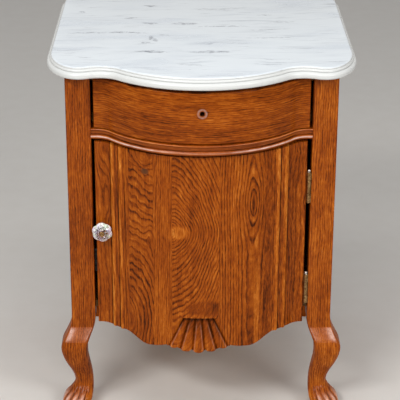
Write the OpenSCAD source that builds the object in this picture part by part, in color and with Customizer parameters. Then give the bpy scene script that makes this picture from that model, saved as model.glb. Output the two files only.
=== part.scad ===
// Bedside pot cupboard: a marble-topped oak stand with a bowed drawer over a bowed door.
// Millimetres, +Z up. The origin is on the floor below the middle of the bounding box,
// and the front faces -Y. "Case frame" below means Y = 0 at the front posts' faces.

/* [Overall] */
// Width of the marble top over its moulded edge
top_width = 550; // [458:1:660]
// Depth of the marble top, from the front of its bow to the back edge
top_depth = 514; // [428:1:617]
// Height from the floor to the marble's face
total_height = 682; // [568:1:818]

/* [Marble top] */
// Thickness of the marble
top_thick = 21; // [17:0.5:26]
// Reach of the marble past the posts at each side
side_overhang = 35; // [28:1:42]
// Reach of the marble behind the rear legs
back_overhang = 17; // [10:1:24]
// Reach of the marble's bow beyond the front posts
top_bow = 97; // [92:1:105]
// Reach of the marble's front corners beyond the front posts
corner_reach = 39; // [35:1:42]
// Reach of the marble at the dips between the bow and the corners
dip_reach = 30; // [27:1:34]
// Distance of each dip inside the marble's side
dip_inset = 104; // [100:1:112]
// Radius of the marble's front corners
corner_radius = 62; // [50:1:65]
// Width of the moulding round the marble's edge
edge_run = 16; // [12:1:20]

/* [Posts and legs] */
// Width of the square front posts
post_size = 43.7; // [36.4:0.1:52.4]
// Width of the square rear legs
back_post_size = 32; // [27:1:38]
// Height at which the posts turn into the cabriole legs
leg_height = 190; // [160:1:225]
// Outward reach of the knee
knee_reach = 20; // [15:0.5:24]
// Outward reach of the paw
foot_reach = 22; // [16:0.5:26]
// Depth of the grooves between the toes
toe_groove = 3; // [1.5:0.1:3.6]

/* [Case] */
// Thickness of the upper and lower side rails and the back rails
rail_thick = 20; // [17:0.5:24]
// Height of the side rails and of the upper and lower back rails
frame_rail_h = 50; // [42:1:60]
// Distance of the side rails inside the posts' outer faces
rail_inset = 3; // [1:0.5:4]
// Thickness of the side panels and the back panel
panel_thick = 8; // [6:0.5:10]
// Depth of the panel grooves
groove_depth = 7; // [5:0.5:8]
// Play around each panel in its grooves
panel_play = 0.2; // [0.1:0.05:0.4]
// Length of the tenons on the rails
tenon_long = 14; // [10:1:16]
// Thickness of the tenons
tenon_thick = 8; // [6:0.5:10]
// Thickness of the bottom board
board_thick = 12; // [10:0.5:15]
// Height of the bottom board's face
board_top = 210; // [204:1:222]
// Height of the cleats under the bottom board
cleat_h = 15; // [12:0.5:18]
// Width of the cleats
cleat_wide = 18; // [15:0.5:20]

/* [Bow of the front] */
// Reach of the drawer front's bow beyond its flat ends
drawer_bow = 85; // [80:1:90]
// Reach of the door's bow beyond its flat ends
door_bow = 79; // [74:1:82]
// Reach of the moulded rail's bow beyond its flat ends
rail_bow = 88; // [85:1:92]
// Radius of the hollow between the bow and each flat end
hollow_radius = 35; // [28:1:42]
// Width of the flat ends of the bowed pieces
flat_end = 8; // [6:0.5:10]
// Distance of the drawer front's and the door's flat ends behind the posts' faces
front_set = 2; // [1:0.5:3]

/* [Moulded rail] */
// Height of the moulded rail
rail_h = 19.5; // [17:0.5:23]
// Height of the thin bead at the rail's top
top_bead = 3; // [2.5:0.1:3.6]
// Height of the round bead at the rail's foot
foot_bead = 9; // [7.5:0.1:10.5]
// Depth of the band between the beads
band_depth = 2.5; // [1.5:0.1:3]
// Depth of the moulded rail behind the posts' faces
rail_deep = 40; // [34:1:48]

/* [Drawer] */
// Height of the drawer front
drawer_front_h = 92.5; // [77:0.5:111]
// Gap above and below the drawer front
drawer_gap = 1.5; // [1:0.1:3]
// Gap between the drawer front's top and the marble
drawer_top_gap = 8; // [7:0.5:9.5]
// Gap beside the drawer front
drawer_side_gap = 5.4; // [4:0.1:6.5]
// Thickness of the drawer front
drawer_front_thick = 22; // [19:0.5:26]
// Thickness of the drawer's sides and back
drawer_side_thick = 12; // [10:0.5:14]
// Thickness of the drawer's bottom
drawer_bottom_thick = 6; // [5:0.5:7]
// Length of the drawer behind its front
drawer_long = 330; // [280:1:340]
// Sliding play of the drawer on its runners and guides
drawer_play = 0.4; // [0.3:0.05:0.8]
// Diameter of the knob hole
knob_hole_d = 8; // [5.8:0.1:8.4]
// Width of the guides beside the drawer
guide_wide = 9.9; // [8.3:0.1:11.8]
// Height of the guides
guide_h = 16; // [13:0.5:19]
// Width of the runners and kickers
runner_wide = 46; // [38:1:55]
// Height of the kickers and the front top rail
kicker_h = 20; // [17:0.5:22]

/* [Door] */
// Thickness of the door at its flat ends
door_thick = 22; // [19:0.5:25]
// Gap between the moulded rail and the door
door_top_gap = 5; // [3:0.5:6]
// Gap at the door's opening edge
door_side_gap = 5.8; // [4.5:0.1:7]
// Height of the door's lower corners below the tops of the legs
door_drop = 12; // [8:1:16]
// Depth of the wave in the door's lower edge
skirt_drop = 17.5; // [14.5:0.5:21]
// Depth of the fan below the skirt
fan_drop = 8; // [6:1:11]
// Height of the carved fan
fan_height = 72; // [60:1:84]
// Half width of the fan at its foot
fan_half = 58; // [46:1:60]
// Half width of the fan at its top
fan_top_half = 26; // [20:1:30]
// Depth of the fan's grooves
fan_groove = 4; // [2.5:0.1:5]
// Reach of the upright reeds beyond the door's face
reed_proud = 1.5; // [1:0.1:2]

/* [Hinges] */
// Height of a hinge
hinge_h = 58; // [48:1:69]
// Diameter of the hinge barrels
barrel_d = 7.4; // [6.2:0.1:8.9]
// Thickness of the hinge leaves
leaf_thick = 1.8; // [1.5:0.1:2.2]
// Width of the hinge leaves behind the barrel
leaf_wide = 19; // [16:0.5:21]
// Diameter of the hinge pins
hinge_pin_d = 3.4; // [2.9:0.1:4]
// Radial clearance of the pins in the barrels
pin_play = 0.05; // [0.03:0.01:0.1]
// Gap between neighbouring knuckles
knuckle_gap = 0.4; // [0.3:0.1:0.6]
// Diameter of the ball tips
ball_d = 6; // [5:0.1:7.2]
// Distance of the upper hinge below the door's top
upper_hinge_drop = 57.5; // [50:0.5:70]
// Distance of the lower hinge above the door's lower corners
lower_hinge_rise = 40.5; // [37:0.5:48]
// Diameter of the hinge screws
screw_d = 2.8; // [2.4:0.1:3.2]
// Length of the hinge screws
screw_long = 15; // [12:0.5:18]

/* [Knob and catch] */
// Diameter of the glass knob
knob_d = 37; // [31:0.5:40]
// Length of the knob from the door
knob_long = 33; // [26:0.5:35]
// Distance of the knob from the door's opening edge
knob_inset = 11.5; // [10.5:0.5:14]
// Share of the door's height at which the knob sits
knob_share = 0.535; // [0.5:0.005:0.6]
// Diameter of the knob's bolt
bolt_d = 4.8; // [4:0.1:5.6]
// Length of the catch
catch_long = 46; // [38:1:54]
// Width of the catch off the post
catch_wide = 14; // [12:0.5:16]
// Depth of the catch
catch_deep = 15; // [12.5:0.5:18]

/* [Hidden] */
$fn = 64;
OAK = [0.66, 0.36, 0.14];
OAK_DARK = [0.58, 0.30, 0.11];
OAK_LIGHT = [0.72, 0.42, 0.18];
PINE = [0.80, 0.64, 0.42];
MARBLE = [0.90, 0.91, 0.92];
BRASS = [0.62, 0.50, 0.28];
STEEL = [0.60, 0.60, 0.62];
GLASS = [0.85, 0.92, 0.95, 0.6];

case_front = top_bow - top_depth / 2;
case_w = top_width - 2 * side_overhang;
case_deep = top_depth - top_bow - back_overhang;
case_top = total_height - top_thick;
post_in = case_w / 2 - post_size;
back_post_in = case_w / 2 - back_post_size;
back_post_front = case_deep - back_post_size;
rail_out = case_w / 2 - rail_inset;
rail_in = rail_out - rail_thick;
panel_mid = (rail_out + rail_in) / 2;
back_out = case_deep - rail_inset;
back_in = back_out - rail_thick;
back_mid = (back_out + back_in) / 2;
side_rail_low = leg_height - 10;
eps = 0.01;
lap = 1;
// tenons of the moulded rail and the front top rail: distance from the back face, height left
// free above and below
rail_tenon = [8, 3];
top_tenon = [2, 4];
// gap between the closed door and the bottom board
board_gap = 3;

drawer_top = case_top - drawer_top_gap;
drawer_low = drawer_top - drawer_front_h;
rail_top = drawer_low - drawer_gap;
rail_low = rail_top - rail_h;
bow_reach = post_in - flat_end;
runner_thick = rail_h - 1.5;

drawer_half = post_in - drawer_side_gap;
drawer_out = post_in - guide_wide - drawer_play;
drawer_in = drawer_out - drawer_side_thick;
drawer_back_of_front = front_set + drawer_front_thick;
drawer_back_end = drawer_back_of_front + drawer_long;
drawer_side_low = rail_top + drawer_play;
drawer_side_top = case_top - kicker_h - 10 * drawer_play;
drawer_groove = 5;
drawer_bottom_low = drawer_side_low + 9;
drawer_bottom_top = drawer_bottom_low + drawer_bottom_thick;
dado = 4;

door_high = rail_low - door_top_gap;
door_low = leg_height - door_drop;
door_left = door_side_gap - post_in;
hinge_gap = barrel_d + 2 * knuckle_gap;
door_right = post_in - hinge_gap;
hinge_x = post_in - hinge_gap / 2;
hinge_y = 0;
door_back = front_set + door_thick;
door_h = door_high - door_low;
stave_edges = [door_left, -0.690 * bow_reach, -0.457 * bow_reach, -0.279 * bow_reach,
    0.165 * bow_reach, 0.592 * bow_reach, door_right];
STAVE_TONES = [OAK, OAK_DARK, OAK, OAK_LIGHT, OAK_DARK, OAK];
fan_x = -0.027 * bow_reach;
fan_foot = door_low - skirt_drop - fan_drop;
lobes = 5;

upper_hinge_z = door_high - upper_hinge_drop - hinge_h;
lower_hinge_z = door_low + lower_hinge_rise;
knob_x = door_left + knob_inset;
knob_z = door_low + knob_share * door_h;
catch_z = (lower_hinge_z + knob_z) / 2;
strike_thick = 1.2;

// ---- bow: a convex arc between two hollows that meet the line y = 0 level ----
function bow_sum(b, xc) = (xc * xc + b * b) / (2 * b);
function bow_radius(b, xc, r) = bow_sum(b, xc) - r;
function bow_join(b, xc, r) = xc * bow_radius(b, xc, r) / bow_sum(b, xc);
// forward reach of the bow at the distance x from the middle
function bow_at(x, b, xc, r) =
    abs(x) < bow_join(b, xc, r)
    ? b - bow_radius(b, xc, r) + sqrt(pow(bow_radius(b, xc, r), 2) - x * x)
    : abs(x) < xc ? r - sqrt(r * r - pow(xc - abs(x), 2)) : 0;

// area in front of the line y = 0, taken in by the distance "in"; "ends" are the outline's
// points on the right from the back to the hollow
module bow_area(b, xc, r, in, ends) {
    big = bow_radius(b, xc, r);
    join = [bow_join(b, xc, r), -bow_at(bow_join(b, xc, r), b, xc, r)];
    // unit vector from the bow's centre to the hollow's
    aim = [xc, b - big - r] / (big + r);
    edge = concat(ends, [join + lap * aim, join - (in + lap) * aim]);
    intersection() {
        translate([0, big - b])
            circle(r = big - in, $fn = 180);
        translate([-xc, -b - lap])
            square([2 * xc, b + in + 2 * lap]);
    }
    difference() {
        polygon(concat([for (p = edge) [-p[0], p[1]]], [for (k = [len(edge) - 1:-1:0]) edge[k]]));
        for (side = [-1, 1])
            translate([side * xc, -r])
                circle(r = r + in, $fn = 96);
    }
}

// plate with a bowed front edge, from the line y = 0 back to y = deep
module bow_plate(left, right, b, xc, r, deep, in = 0) {
    bow_area(b, xc, r, in, [[xc, in + lap], [xc, -r / 3]]);
    translate([left, in])
        square([right - left, deep - in]);
}

// area behind a bowed face, the distance "deep" from it, as far back as the line y = back
module scoop(b, deep, back) {
    big = bow_radius(b, bow_reach, hollow_radius);
    intersection() {
        translate([0, front_set + big - b])
            circle(r = big - deep, $fn = 180);
        translate([-bow_reach, -b])
            square([2 * bow_reach, b + back + lap]);
    }
}

// shell with a bowed face and a flat back, scooped behind the bow
module bow_shell(left, right, b, thick) {
    difference() {
        translate([0, front_set])
            bow_plate(left, right, b, bow_reach, hollow_radius, thick);
        scoop(b, thick, front_set + thick);
    }
}

module block(x0, x1, y0, y1, z0, z1) {
    translate([x0, y0, z0])
        cube([x1 - x0, y1 - y0, z1 - z0]);
}

module in_case() {
    translate([0, case_front, 0])
        children();
}

// the left piece as drawn, or its mirror image on the right
module on_side(side) {
    if (side < 0)
        children();
    else
        mirror([1, 0, 0])
            children();
}

// rod along Y
module rod_y(d, y0, y1, x, z) {
    translate([x, y1, z])
        rotate([90, 0, 0])
            cylinder(d = d, h = y1 - y0);
}

// ---- marble top ----
top_back = case_deep + back_overhang;
dip_x = top_width / 2 - dip_inset;
// centre of each round corner, in the case frame
lobe = [top_width / 2 - corner_radius, corner_radius - corner_reach];
// the hollow at each dip meets the bow and the round corner without a break
dip_fall = lobe[1] + dip_reach;
dip_radius = (pow(lobe[0] - dip_x, 2) + dip_fall * dip_fall - corner_radius * corner_radius)
    / (2 * (corner_reach - dip_reach));

// marble outline, taken in by the distance "in" everywhere but at its plain back edge
module top_area(in) {
    aim = [dip_x - lobe[0], -dip_fall - dip_radius] / (corner_radius + dip_radius);
    centre = [lobe[0], dip_fall];
    translate([0, -dip_reach])
        bow_area(top_bow - dip_reach, dip_x, dip_radius, in,
            [[top_width / 2 - in, top_back + dip_reach], [top_width / 2 - in, dip_fall], centre,
                centre + (corner_radius + lap) * aim]);
    for (side = [-1, 1])
        translate([side * lobe[0], lobe[1]])
            circle(r = corner_radius - in, $fn = 96);
}

// moulding of the edge, from the underside up: round nose, quirk, hollow, quirk, arris
edge_steps = [[0, 0.10, 0.16], [0.10, 0.24, 0.05], [0.24, 0.46, 0], [0.46, 0.58, 0.08],
    [0.58, 0.66, 0.30], [0.66, 0.74, 0.38], [0.74, 0.82, 0.52], [0.82, 0.90, 0.74], [0.90, 1, 0.94]];

module marble_top() {
    color(MARBLE)
        in_case()
            for (step = edge_steps)
                translate([0, 0, case_top + step[0] * top_thick])
                    linear_extrude((step[1] - step[0]) * top_thick)
                        top_area(step[2] * edge_run);
}

// ---- front legs ----
// stations of the cabriole: height share, outward reach of the outer faces as a share of the
// knee or foot, outward reach of the inner faces, corner radius
leg_stations = [
    [1.00, 0, 0, 1.5], [0.93, 0.08 * knee_reach, 1, 2.5], [0.87, 0.23 * knee_reach, 4, 3.6],
    [0.80, 0.57 * knee_reach, 9.7, 5], [0.73, 0.95 * knee_reach, 14.5, 7], [0.66, knee_reach, 16, 9],
    [0.57, 0.84 * knee_reach, 15.7, 11.6], [0.48, 0.55 * knee_reach, 13, 13.2],
    [0.39, 0.19 * knee_reach, 10, 14], [0.31, -0.04 * foot_reach, 8.2, 15],
    [0.24, -0.05 * foot_reach, 7.5, 17], [0.17, 0.36 * foot_reach, 7.6, 18.6],
    [0.11, 0.86 * foot_reach, 9, 20], [0.05, foot_reach, 12, 22], [0, 0.93 * foot_reach, 13, 22]];
toe_start = 0.25;
toes = 5;
ring_levels = 30;
corner_points = 14;

// smooth value of column c at the height share u, by Hermite arcs between the stations
function slope_at(s, i, c) =
    i == 0 || i == len(s) - 1 ? 0
    : (s[i + 1][c] - s[i - 1][c]) / (s[i + 1][0] - s[i - 1][0]);
function blend(s, u, c, i = 0) =
    i < len(s) - 2 && u < s[i + 1][0] ? blend(s, u, c, i + 1)
    : let (w = s[i + 1][0] - s[i][0], t = (u - s[i][0]) / w)
        (2 * t * t * t - 3 * t * t + 1) * s[i][c] + (t * t * t - 2 * t * t + t) * w * slope_at(s, i, c)
        + (3 * t * t - 2 * t * t * t) * s[i + 1][c] + (t * t * t - t * t) * w * slope_at(s, i + 1, c);

// depth of the toe grooves round the outer corner, at the angle a from the leg's middle
function toe_cut(u, a) =
    let (t = max(0, min(1, (toe_start - u) / 0.16)), spread = (a - 45) / 135)
        abs(spread) > 0.5 ? 0 : t * toe_groove * pow(abs(cos(180 * toes * (spread + 0.5) )), 6);

// ring of the leg at the height share u: a square with round corners, outer corner at -x, -y
function leg_ring(u) =
    let (out = blend(leg_stations, u, 1), inn = blend(leg_stations, u, 2),
        r = blend(leg_stations, u, 3), lo = -out, hi = post_size - inn, mid = (lo + hi) / 2)
    [for (corner = [0:3], k = [0:corner_points - 1])
        let (a = 90 * corner + 90 * k / (corner_points - 1),
            cx = corner == 0 || corner == 3 ? lo + r : hi - r,
            cy = corner < 2 ? lo + r : hi - r,
            x = cx - r * cos(a), y = cy - r * sin(a),
            cut = toe_cut(u, atan2(mid - y, mid - x)),
            away = norm([x - mid, y - mid]))
        [mid + (x - mid) * (away - cut) / away, mid + (y - mid) * (away - cut) / away, u * leg_height]];

// solid skin over rings of equal length, the first ring lowest
module skin(rings) {
    n = len(rings[0]);
    m = len(rings);
    polyhedron(
        points = [for (ring = rings) for (p = ring) p],
        faces = concat(
            [[for (k = [0:n - 1]) k]],
            [for (j = [0:m - 2], k = [0:n - 1])
                [j * n + k, (j + 1) * n + k, (j + 1) * n + (k + 1) % n, j * n + (k + 1) % n]],
            [[for (k = [n - 1:-1:0]) (m - 1) * n + k]]));
}

module front_leg() {
    in_case()
        difference() {
            union() {
                block(-case_w / 2, -post_in, 0, post_size, leg_height, case_top);
                translate([-case_w / 2, 0, 0])
                    skin([for (j = [0:ring_levels]) leg_ring(j / ring_levels)]);
            }
            side_frame_cuts();
            front_rail_cuts();
        }
}

module front_leg_left() {
    color(OAK)
        difference() {
            front_leg();
            in_case()
                catch_pilots();
        }
}

module front_leg_right() {
    color(OAK)
        difference() {
            mirror([1, 0, 0])
                front_leg();
            in_case()
                hinge_frame_pilots();
        }
}

// ---- side and back frames: grooves and mortises, drawn on the left ----
module side_frame_cuts() {
    block(-panel_mid - panel_thick / 2 - panel_play, -panel_mid + panel_thick / 2 + panel_play,
        post_size - groove_depth - panel_play, back_post_front + groove_depth + panel_play,
        side_rail_low + frame_rail_h - groove_depth, case_top - frame_rail_h + groove_depth);
    for (z = [side_rail_low, case_top - frame_rail_h])
        block(-panel_mid - tenon_thick / 2, -panel_mid + tenon_thick / 2,
            post_size - tenon_long - panel_play, back_post_front + tenon_long + panel_play,
            z + groove_depth, z + frame_rail_h - groove_depth);
}

module front_rail_cuts() {
    block(-post_in - tenon_long - panel_play, -post_in + eps,
        rail_deep - tenon_thick - rail_tenon[0], rail_deep - rail_tenon[0],
        rail_low + rail_tenon[1], rail_top - rail_tenon[1]);
    block(-post_in - tenon_long - panel_play, -post_in + eps,
        rail_deep - tenon_thick - top_tenon[0], rail_deep - top_tenon[0],
        case_top - kicker_h + top_tenon[1], case_top - top_tenon[1]);
}

module side_rail(low) {
    in_case()
        difference() {
            union() {
                block(-rail_out, -rail_in, post_size, back_post_front, low, low + frame_rail_h);
                block(-panel_mid - tenon_thick / 2, -panel_mid + tenon_thick / 2,
                    post_size - tenon_long, back_post_front + tenon_long,
                    low + groove_depth, low + frame_rail_h - groove_depth);
            }
            block(-panel_mid - panel_thick / 2 - panel_play, -panel_mid + panel_thick / 2 + panel_play,
                0, case_deep, side_rail_low + frame_rail_h - groove_depth,
                case_top - frame_rail_h + groove_depth);
        }
}

module side_rail_top_left() { color(OAK) side_rail(case_top - frame_rail_h); }
module side_rail_top_right() { color(OAK) on_side(1) side_rail(case_top - frame_rail_h); }
module side_rail_low_left() { color(OAK) side_rail(side_rail_low); }
module side_rail_low_right() { color(OAK) on_side(1) side_rail(side_rail_low); }

module side_panel() {
    in_case()
        block(-panel_mid - panel_thick / 2, -panel_mid + panel_thick / 2,
            post_size - groove_depth, back_post_front + groove_depth,
            side_rail_low + frame_rail_h - groove_depth, case_top - frame_rail_h + groove_depth - panel_play);
}

module side_panel_left() { color(OAK_LIGHT) side_panel(); }
module side_panel_right() { color(OAK_LIGHT) on_side(1) side_panel(); }

// heights of the three back rails
back_middle_low = rail_top - runner_thick - frame_rail_h / 2 + runner_thick;
back_rails = [[side_rail_low, frame_rail_h], [back_middle_low, frame_rail_h / 2],
    [case_top - frame_rail_h, frame_rail_h]];

module back_frame_cuts() {
    for (rail = back_rails)
        block(-back_post_in - tenon_long - panel_play, back_post_in + tenon_long + panel_play,
            back_mid - tenon_thick / 2, back_mid + tenon_thick / 2,
            rail[0] + groove_depth, rail[0] + rail[1] - groove_depth);
    block(-back_post_in - groove_depth - panel_play, back_post_in + groove_depth + panel_play,
        back_mid - panel_thick / 2 - panel_play, back_mid + panel_thick / 2 + panel_play,
        side_rail_low + frame_rail_h - groove_depth, case_top - frame_rail_h + groove_depth);
}

module back_leg() {
    taper = 6;
    in_case()
        difference() {
            union() {
                block(-case_w / 2, -back_post_in, back_post_front, case_deep, leg_height, case_top);
                hull() {
                    block(-case_w / 2, -back_post_in, back_post_front, case_deep, leg_height - 1, leg_height);
                    block(-case_w / 2 + taper, -back_post_in - taper, back_post_front + taper,
                        case_deep - taper, 0, 1);
                }
            }
            side_frame_cuts();
            back_frame_cuts();
        }
}

module back_leg_left() { color(OAK) back_leg(); }
module back_leg_right() { color(OAK) on_side(1) back_leg(); }

module back_rail(rail) {
    color(OAK)
        in_case()
            difference() {
                union() {
                    block(-back_post_in, back_post_in, back_in, back_out, rail[0], rail[0] + rail[1]);
                    block(-back_post_in - tenon_long, back_post_in + tenon_long,
                        back_mid - tenon_thick / 2, back_mid + tenon_thick / 2,
                        rail[0] + groove_depth, rail[0] + rail[1] - groove_depth);
                }
                for (cut = [[side_rail_low + frame_rail_h, back_middle_low],
                        [back_middle_low + frame_rail_h / 2, case_top - frame_rail_h]])
                    block(-case_w, case_w, back_mid - panel_thick / 2 - panel_play,
                        back_mid + panel_thick / 2 + panel_play,
                        cut[0] - groove_depth, cut[1] + groove_depth);
            }
}

module back_rail_low() { back_rail(back_rails[0]); }
module back_rail_middle() { back_rail(back_rails[1]); }
module back_rail_top() { back_rail(back_rails[2]); }

module back_panel(low, high) {
    color(PINE)
        in_case()
            block(-back_post_in - groove_depth, back_post_in + groove_depth,
                back_mid - panel_thick / 2, back_mid + panel_thick / 2,
                low - groove_depth, high + groove_depth - panel_play);
}

module back_panel_lower() { back_panel(side_rail_low + frame_rail_h, back_middle_low); }
module back_panel_upper() { back_panel(back_middle_low + frame_rail_h / 2, case_top - frame_rail_h); }

// ---- rails across the front ----
module front_top_rail() {
    color(PINE)
        in_case()
            union() {
                block(-post_in, post_in, drawer_back_of_front + drawer_play, post_size,
                    case_top - kicker_h, case_top);
                block(-post_in - tenon_long, post_in + tenon_long,
                    rail_deep - tenon_thick - top_tenon[0], rail_deep - top_tenon[0],
                    case_top - kicker_h + top_tenon[1], case_top - top_tenon[1]);
            }
}

// layers of the moulded rail: foot, top, distance taken in
module rail_layer(low, high, in) {
    translate([0, 0, low])
        linear_extrude(high - low)
            bow_plate(-post_in, post_in, rail_bow, bow_reach, hollow_radius, rail_deep, in);
}

module drawer_rail() {
    color(OAK)
        in_case()
            union() {
                rail_layer(rail_low, rail_low + foot_bead / 4, foot_bead / 6);
                rail_layer(rail_low + foot_bead / 4, rail_low + 3 * foot_bead / 4, 0);
                rail_layer(rail_low + 3 * foot_bead / 4, rail_low + foot_bead, foot_bead / 6);
                rail_layer(rail_low + foot_bead, rail_top - top_bead, band_depth + foot_bead / 6);
                rail_layer(rail_top - top_bead, rail_top, foot_bead / 6);
                block(-post_in - tenon_long, post_in + tenon_long,
                    rail_deep - tenon_thick - rail_tenon[0], rail_deep - rail_tenon[0],
                    rail_low + rail_tenon[1], rail_top - rail_tenon[1]);
            }
}

// ---- runners, guides and kickers ----
module runner() {
    color(PINE)
        in_case()
            block(-post_in, -post_in + runner_wide, rail_deep, back_in, rail_top - runner_thick, rail_top);
}

module runner_left() { runner(); }
module runner_right() { on_side(1) runner(); }

module guide() {
    color(PINE)
        in_case()
            block(-post_in, -post_in + guide_wide, rail_deep, back_in, rail_top, rail_top + guide_h);
}

module guide_left() { guide(); }
module guide_right() { on_side(1) guide(); }

module kicker() {
    color(PINE)
        in_case()
            block(-post_in, -post_in + runner_wide, post_size, back_in, case_top - kicker_h, case_top);
}

module kicker_left() { kicker(); }
module kicker_right() { on_side(1) kicker(); }

// ---- floor of the cupboard ----
module bottom_board() {
    front = door_back + board_gap;
    color(PINE)
        in_case()
            translate([0, 0, board_top - board_thick])
                linear_extrude(board_thick)
                    difference() {
                        union() {
                            translate([-rail_in, front])
                                square([2 * rail_in, back_in - front]);
                            scoop(door_bow, door_thick + board_gap, front);
                        }
                        for (side = [-1, 1]) {
                            translate([side > 0 ? post_in : -case_w, -1])
                                square([case_w - post_in, post_size + 1]);
                            translate([side > 0 ? back_post_in : -case_w, back_post_front])
                                square([case_w - back_post_in, back_post_size]);
                        }
                    }
}

module cleat() {
    color(PINE)
        in_case()
            block(-rail_in, -rail_in + cleat_wide, post_size, back_post_front,
                board_top - board_thick - cleat_h, board_top - board_thick);
}

module cleat_left() { cleat(); }
module cleat_right() { on_side(1) cleat(); }

// ---- drawer ----
// dovetail tongue of a drawer side, housed in the drawer front
module side_tongue() {
    root = drawer_back_of_front - drawer_front_thick * 0.45;
    neck = drawer_side_thick * 0.4;
    mid = -(drawer_out + drawer_in) / 2;
    translate([0, 0, drawer_side_low])
        linear_extrude(drawer_side_top - drawer_side_low)
            polygon([[mid - neck / 2, drawer_back_of_front + eps], [mid - neck * 0.8, root],
                [mid + neck * 0.8, root], [mid + neck / 2, drawer_back_of_front + eps]]);
}

module drawer_front() {
    color(OAK)
        in_case()
            difference() {
                translate([0, 0, drawer_low])
                    linear_extrude(drawer_front_h)
                        bow_shell(-drawer_half, drawer_half, drawer_bow, drawer_front_thick);
                for (side = [-1, 1])
                    on_side(side)
                        side_tongue();
                drawer_bottom_area(drawer_bottom_thick + panel_play, 0);
                rod_y(knob_hole_d, -2 * drawer_bow, post_size, 0, knob_hole_z);
            }
}

knob_hole_z = drawer_low + drawer_front_h * 0.6;

module drawer_side() {
    color(PINE)
        in_case()
            difference() {
                union() {
                    block(-drawer_out, -drawer_in, drawer_back_of_front, drawer_back_end,
                        drawer_side_low, drawer_side_top);
                    side_tongue();
                }
                drawer_bottom_area(drawer_bottom_thick + panel_play, 0);
                block(-drawer_in - dado, -drawer_in + 1, drawer_back_end - 2 * drawer_side_thick,
                    drawer_back_end - drawer_side_thick, drawer_bottom_top + panel_play, drawer_side_top + 1);
            }
}

module drawer_side_left() { drawer_side(); }
module drawer_side_right() { on_side(1) drawer_side(); }

module drawer_back() {
    color(PINE)
        in_case()
            block(-drawer_in - dado, drawer_in + dado, drawer_back_end - 2 * drawer_side_thick,
                drawer_back_end - drawer_side_thick, drawer_bottom_top + panel_play, drawer_side_top - 6);
}

// the drawer's bottom follows the bow into a groove in the front
module drawer_bottom_area(thick, play) {
    groove_y = front_set + drawer_front_thick - drawer_groove;
    translate([0, 0, drawer_bottom_low])
        linear_extrude(thick)
            union() {
                translate([-drawer_in - drawer_groove + play, groove_y])
                    square([2 * (drawer_in + drawer_groove - play), drawer_back_end - groove_y - 1]);
                scoop(drawer_bow, drawer_front_thick - drawer_groove + play, groove_y);
            }
}

module drawer_bottom() {
    color(PINE)
        in_case()
            drawer_bottom_area(drawer_bottom_thick, panel_play);
}

// ---- door ----
// upright reeds on the door's face: distance from the end of the bow, radius
reeds = [[32.3, 6.5], [45.6, 5]];
// the right-hand reeds stand further in by this much
reed_shift = 8;

module door_area() {
    union() {
        bow_shell(door_left, door_right, door_bow, door_thick);
        for (side = [-1, 1], reed = reeds)
            let (at = bow_reach - reed[0] - (side > 0 ? reed_shift : 0))
                translate([side * at, door_face(at) + reed[1] - reed_proud])
                    circle(r = reed[1], $fn = 48);
    }
}

// wave of the lower edge, from the fan's side (w = 0) to the end of the bow (w = 1): it dips
// to its full depth at wave_low and runs level from wave_end
wave_low = 0.27;
wave_end = 0.6;
wave_points = 20;
function wave_drop(w) =
    w > wave_end ? 0
    : w > wave_low ? (1 + cos(180 * (w - wave_low) / (wave_end - wave_low))) / 2
    : 1 - 0.35 * pow(1 - w / wave_low, 2);
function wave_point(side, w) =
    [fan_x + side * (fan_half + w * (bow_reach - side * fan_x - fan_half)),
        door_low - skirt_drop * wave_drop(w)];

// foot of the door, seen from the front: level ends, a wave, and the scalloped fan
module skirt_area() {
    union() {
        polygon(concat([[door_left - lap, door_high], [door_left - lap, door_low]],
            [for (j = [0:wave_points - 1]) wave_point(-1, 1 - j / wave_points)],
            [for (j = [0:wave_points - 1]) wave_point(1, (j + 1) / wave_points)],
            [[door_right + lap, door_low], [door_right + lap, door_high]]));
        intersection() {
            union() {
                for (k = [0:lobes - 1])
                    translate([lobe_x(k), lobe_foot(k) + lobe_radius])
                        circle(r = lobe_radius, $fn = 48);
                translate([fan_x - fan_half * 0.8, fan_foot + fan_drop])
                    square([fan_half * 1.6, 2 * fan_drop]);
            }
            translate([fan_x - fan_half, fan_foot - 1])
                square([2 * fan_half, fan_height]);
        }
    }
}

lobe_radius = fan_half / lobes * 1.5;
function lobe_x(k) = fan_x + fan_half * (2 * (k + 0.5) / lobes - 1);
function lobe_foot(k) = fan_foot + fan_drop * 1.5 * pow(abs(2 * (k + 0.5) / lobes - 1), 1.6);

// V groove of square section from the point a to the point b
module groove_bar(a, b, width) {
    d = b - a;
    translate(a)
        rotate([0, atan2(norm([d[0], d[1]]), d[2]), atan2(d[1], d[0])])
            rotate([0, 0, 45])
                translate([-width / 2, -width / 2, 0])
                    cube([width, width, norm(d)]);
}

function door_face(x) = front_set - bow_at(x, door_bow, bow_reach, hollow_radius);

// the fan: grooves from its top to its scalloped foot
module fan_cuts() {
    for (k = [0:lobes]) {
        share = 2 * k / lobes - 1;
        foot_x = fan_x + fan_half * share;
        high_x = fan_x + fan_top_half * share;
        groove_bar([foot_x, door_face(foot_x) - 1, fan_foot - 4], [high_x, door_face(high_x) - 1,
            fan_foot + fan_height], fan_groove);
    }
}

module door_stave(k) {
    color(STAVE_TONES[k])
        in_case()
            difference() {
                intersection() {
                    translate([0, 0, door_low - skirt_drop - fan_drop - 1])
                        linear_extrude(door_h + skirt_drop + fan_drop + 1)
                            door_area();
                    translate([0, post_size, 0])
                        rotate([90, 0, 0])
                            linear_extrude(post_size + 2 * door_bow)
                                skirt_area();
                    block(stave_edges[k], stave_edges[k + 1], -2 * door_bow, post_size, 0, case_top);
                }
                if (k > 1 && k < 5)
                    fan_cuts();
                if (k == 0) {
                    rod_y(bolt_d + 2 * pin_play, -door_bow, post_size, knob_x, knob_z);
                    rod_y(2 * knob_base + seat_play, -door_bow, knob_face, knob_x, knob_z);
                    strike_pilots();
                }
                if (k == 5)
                    hinge_door_pilots();
            }
}

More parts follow.
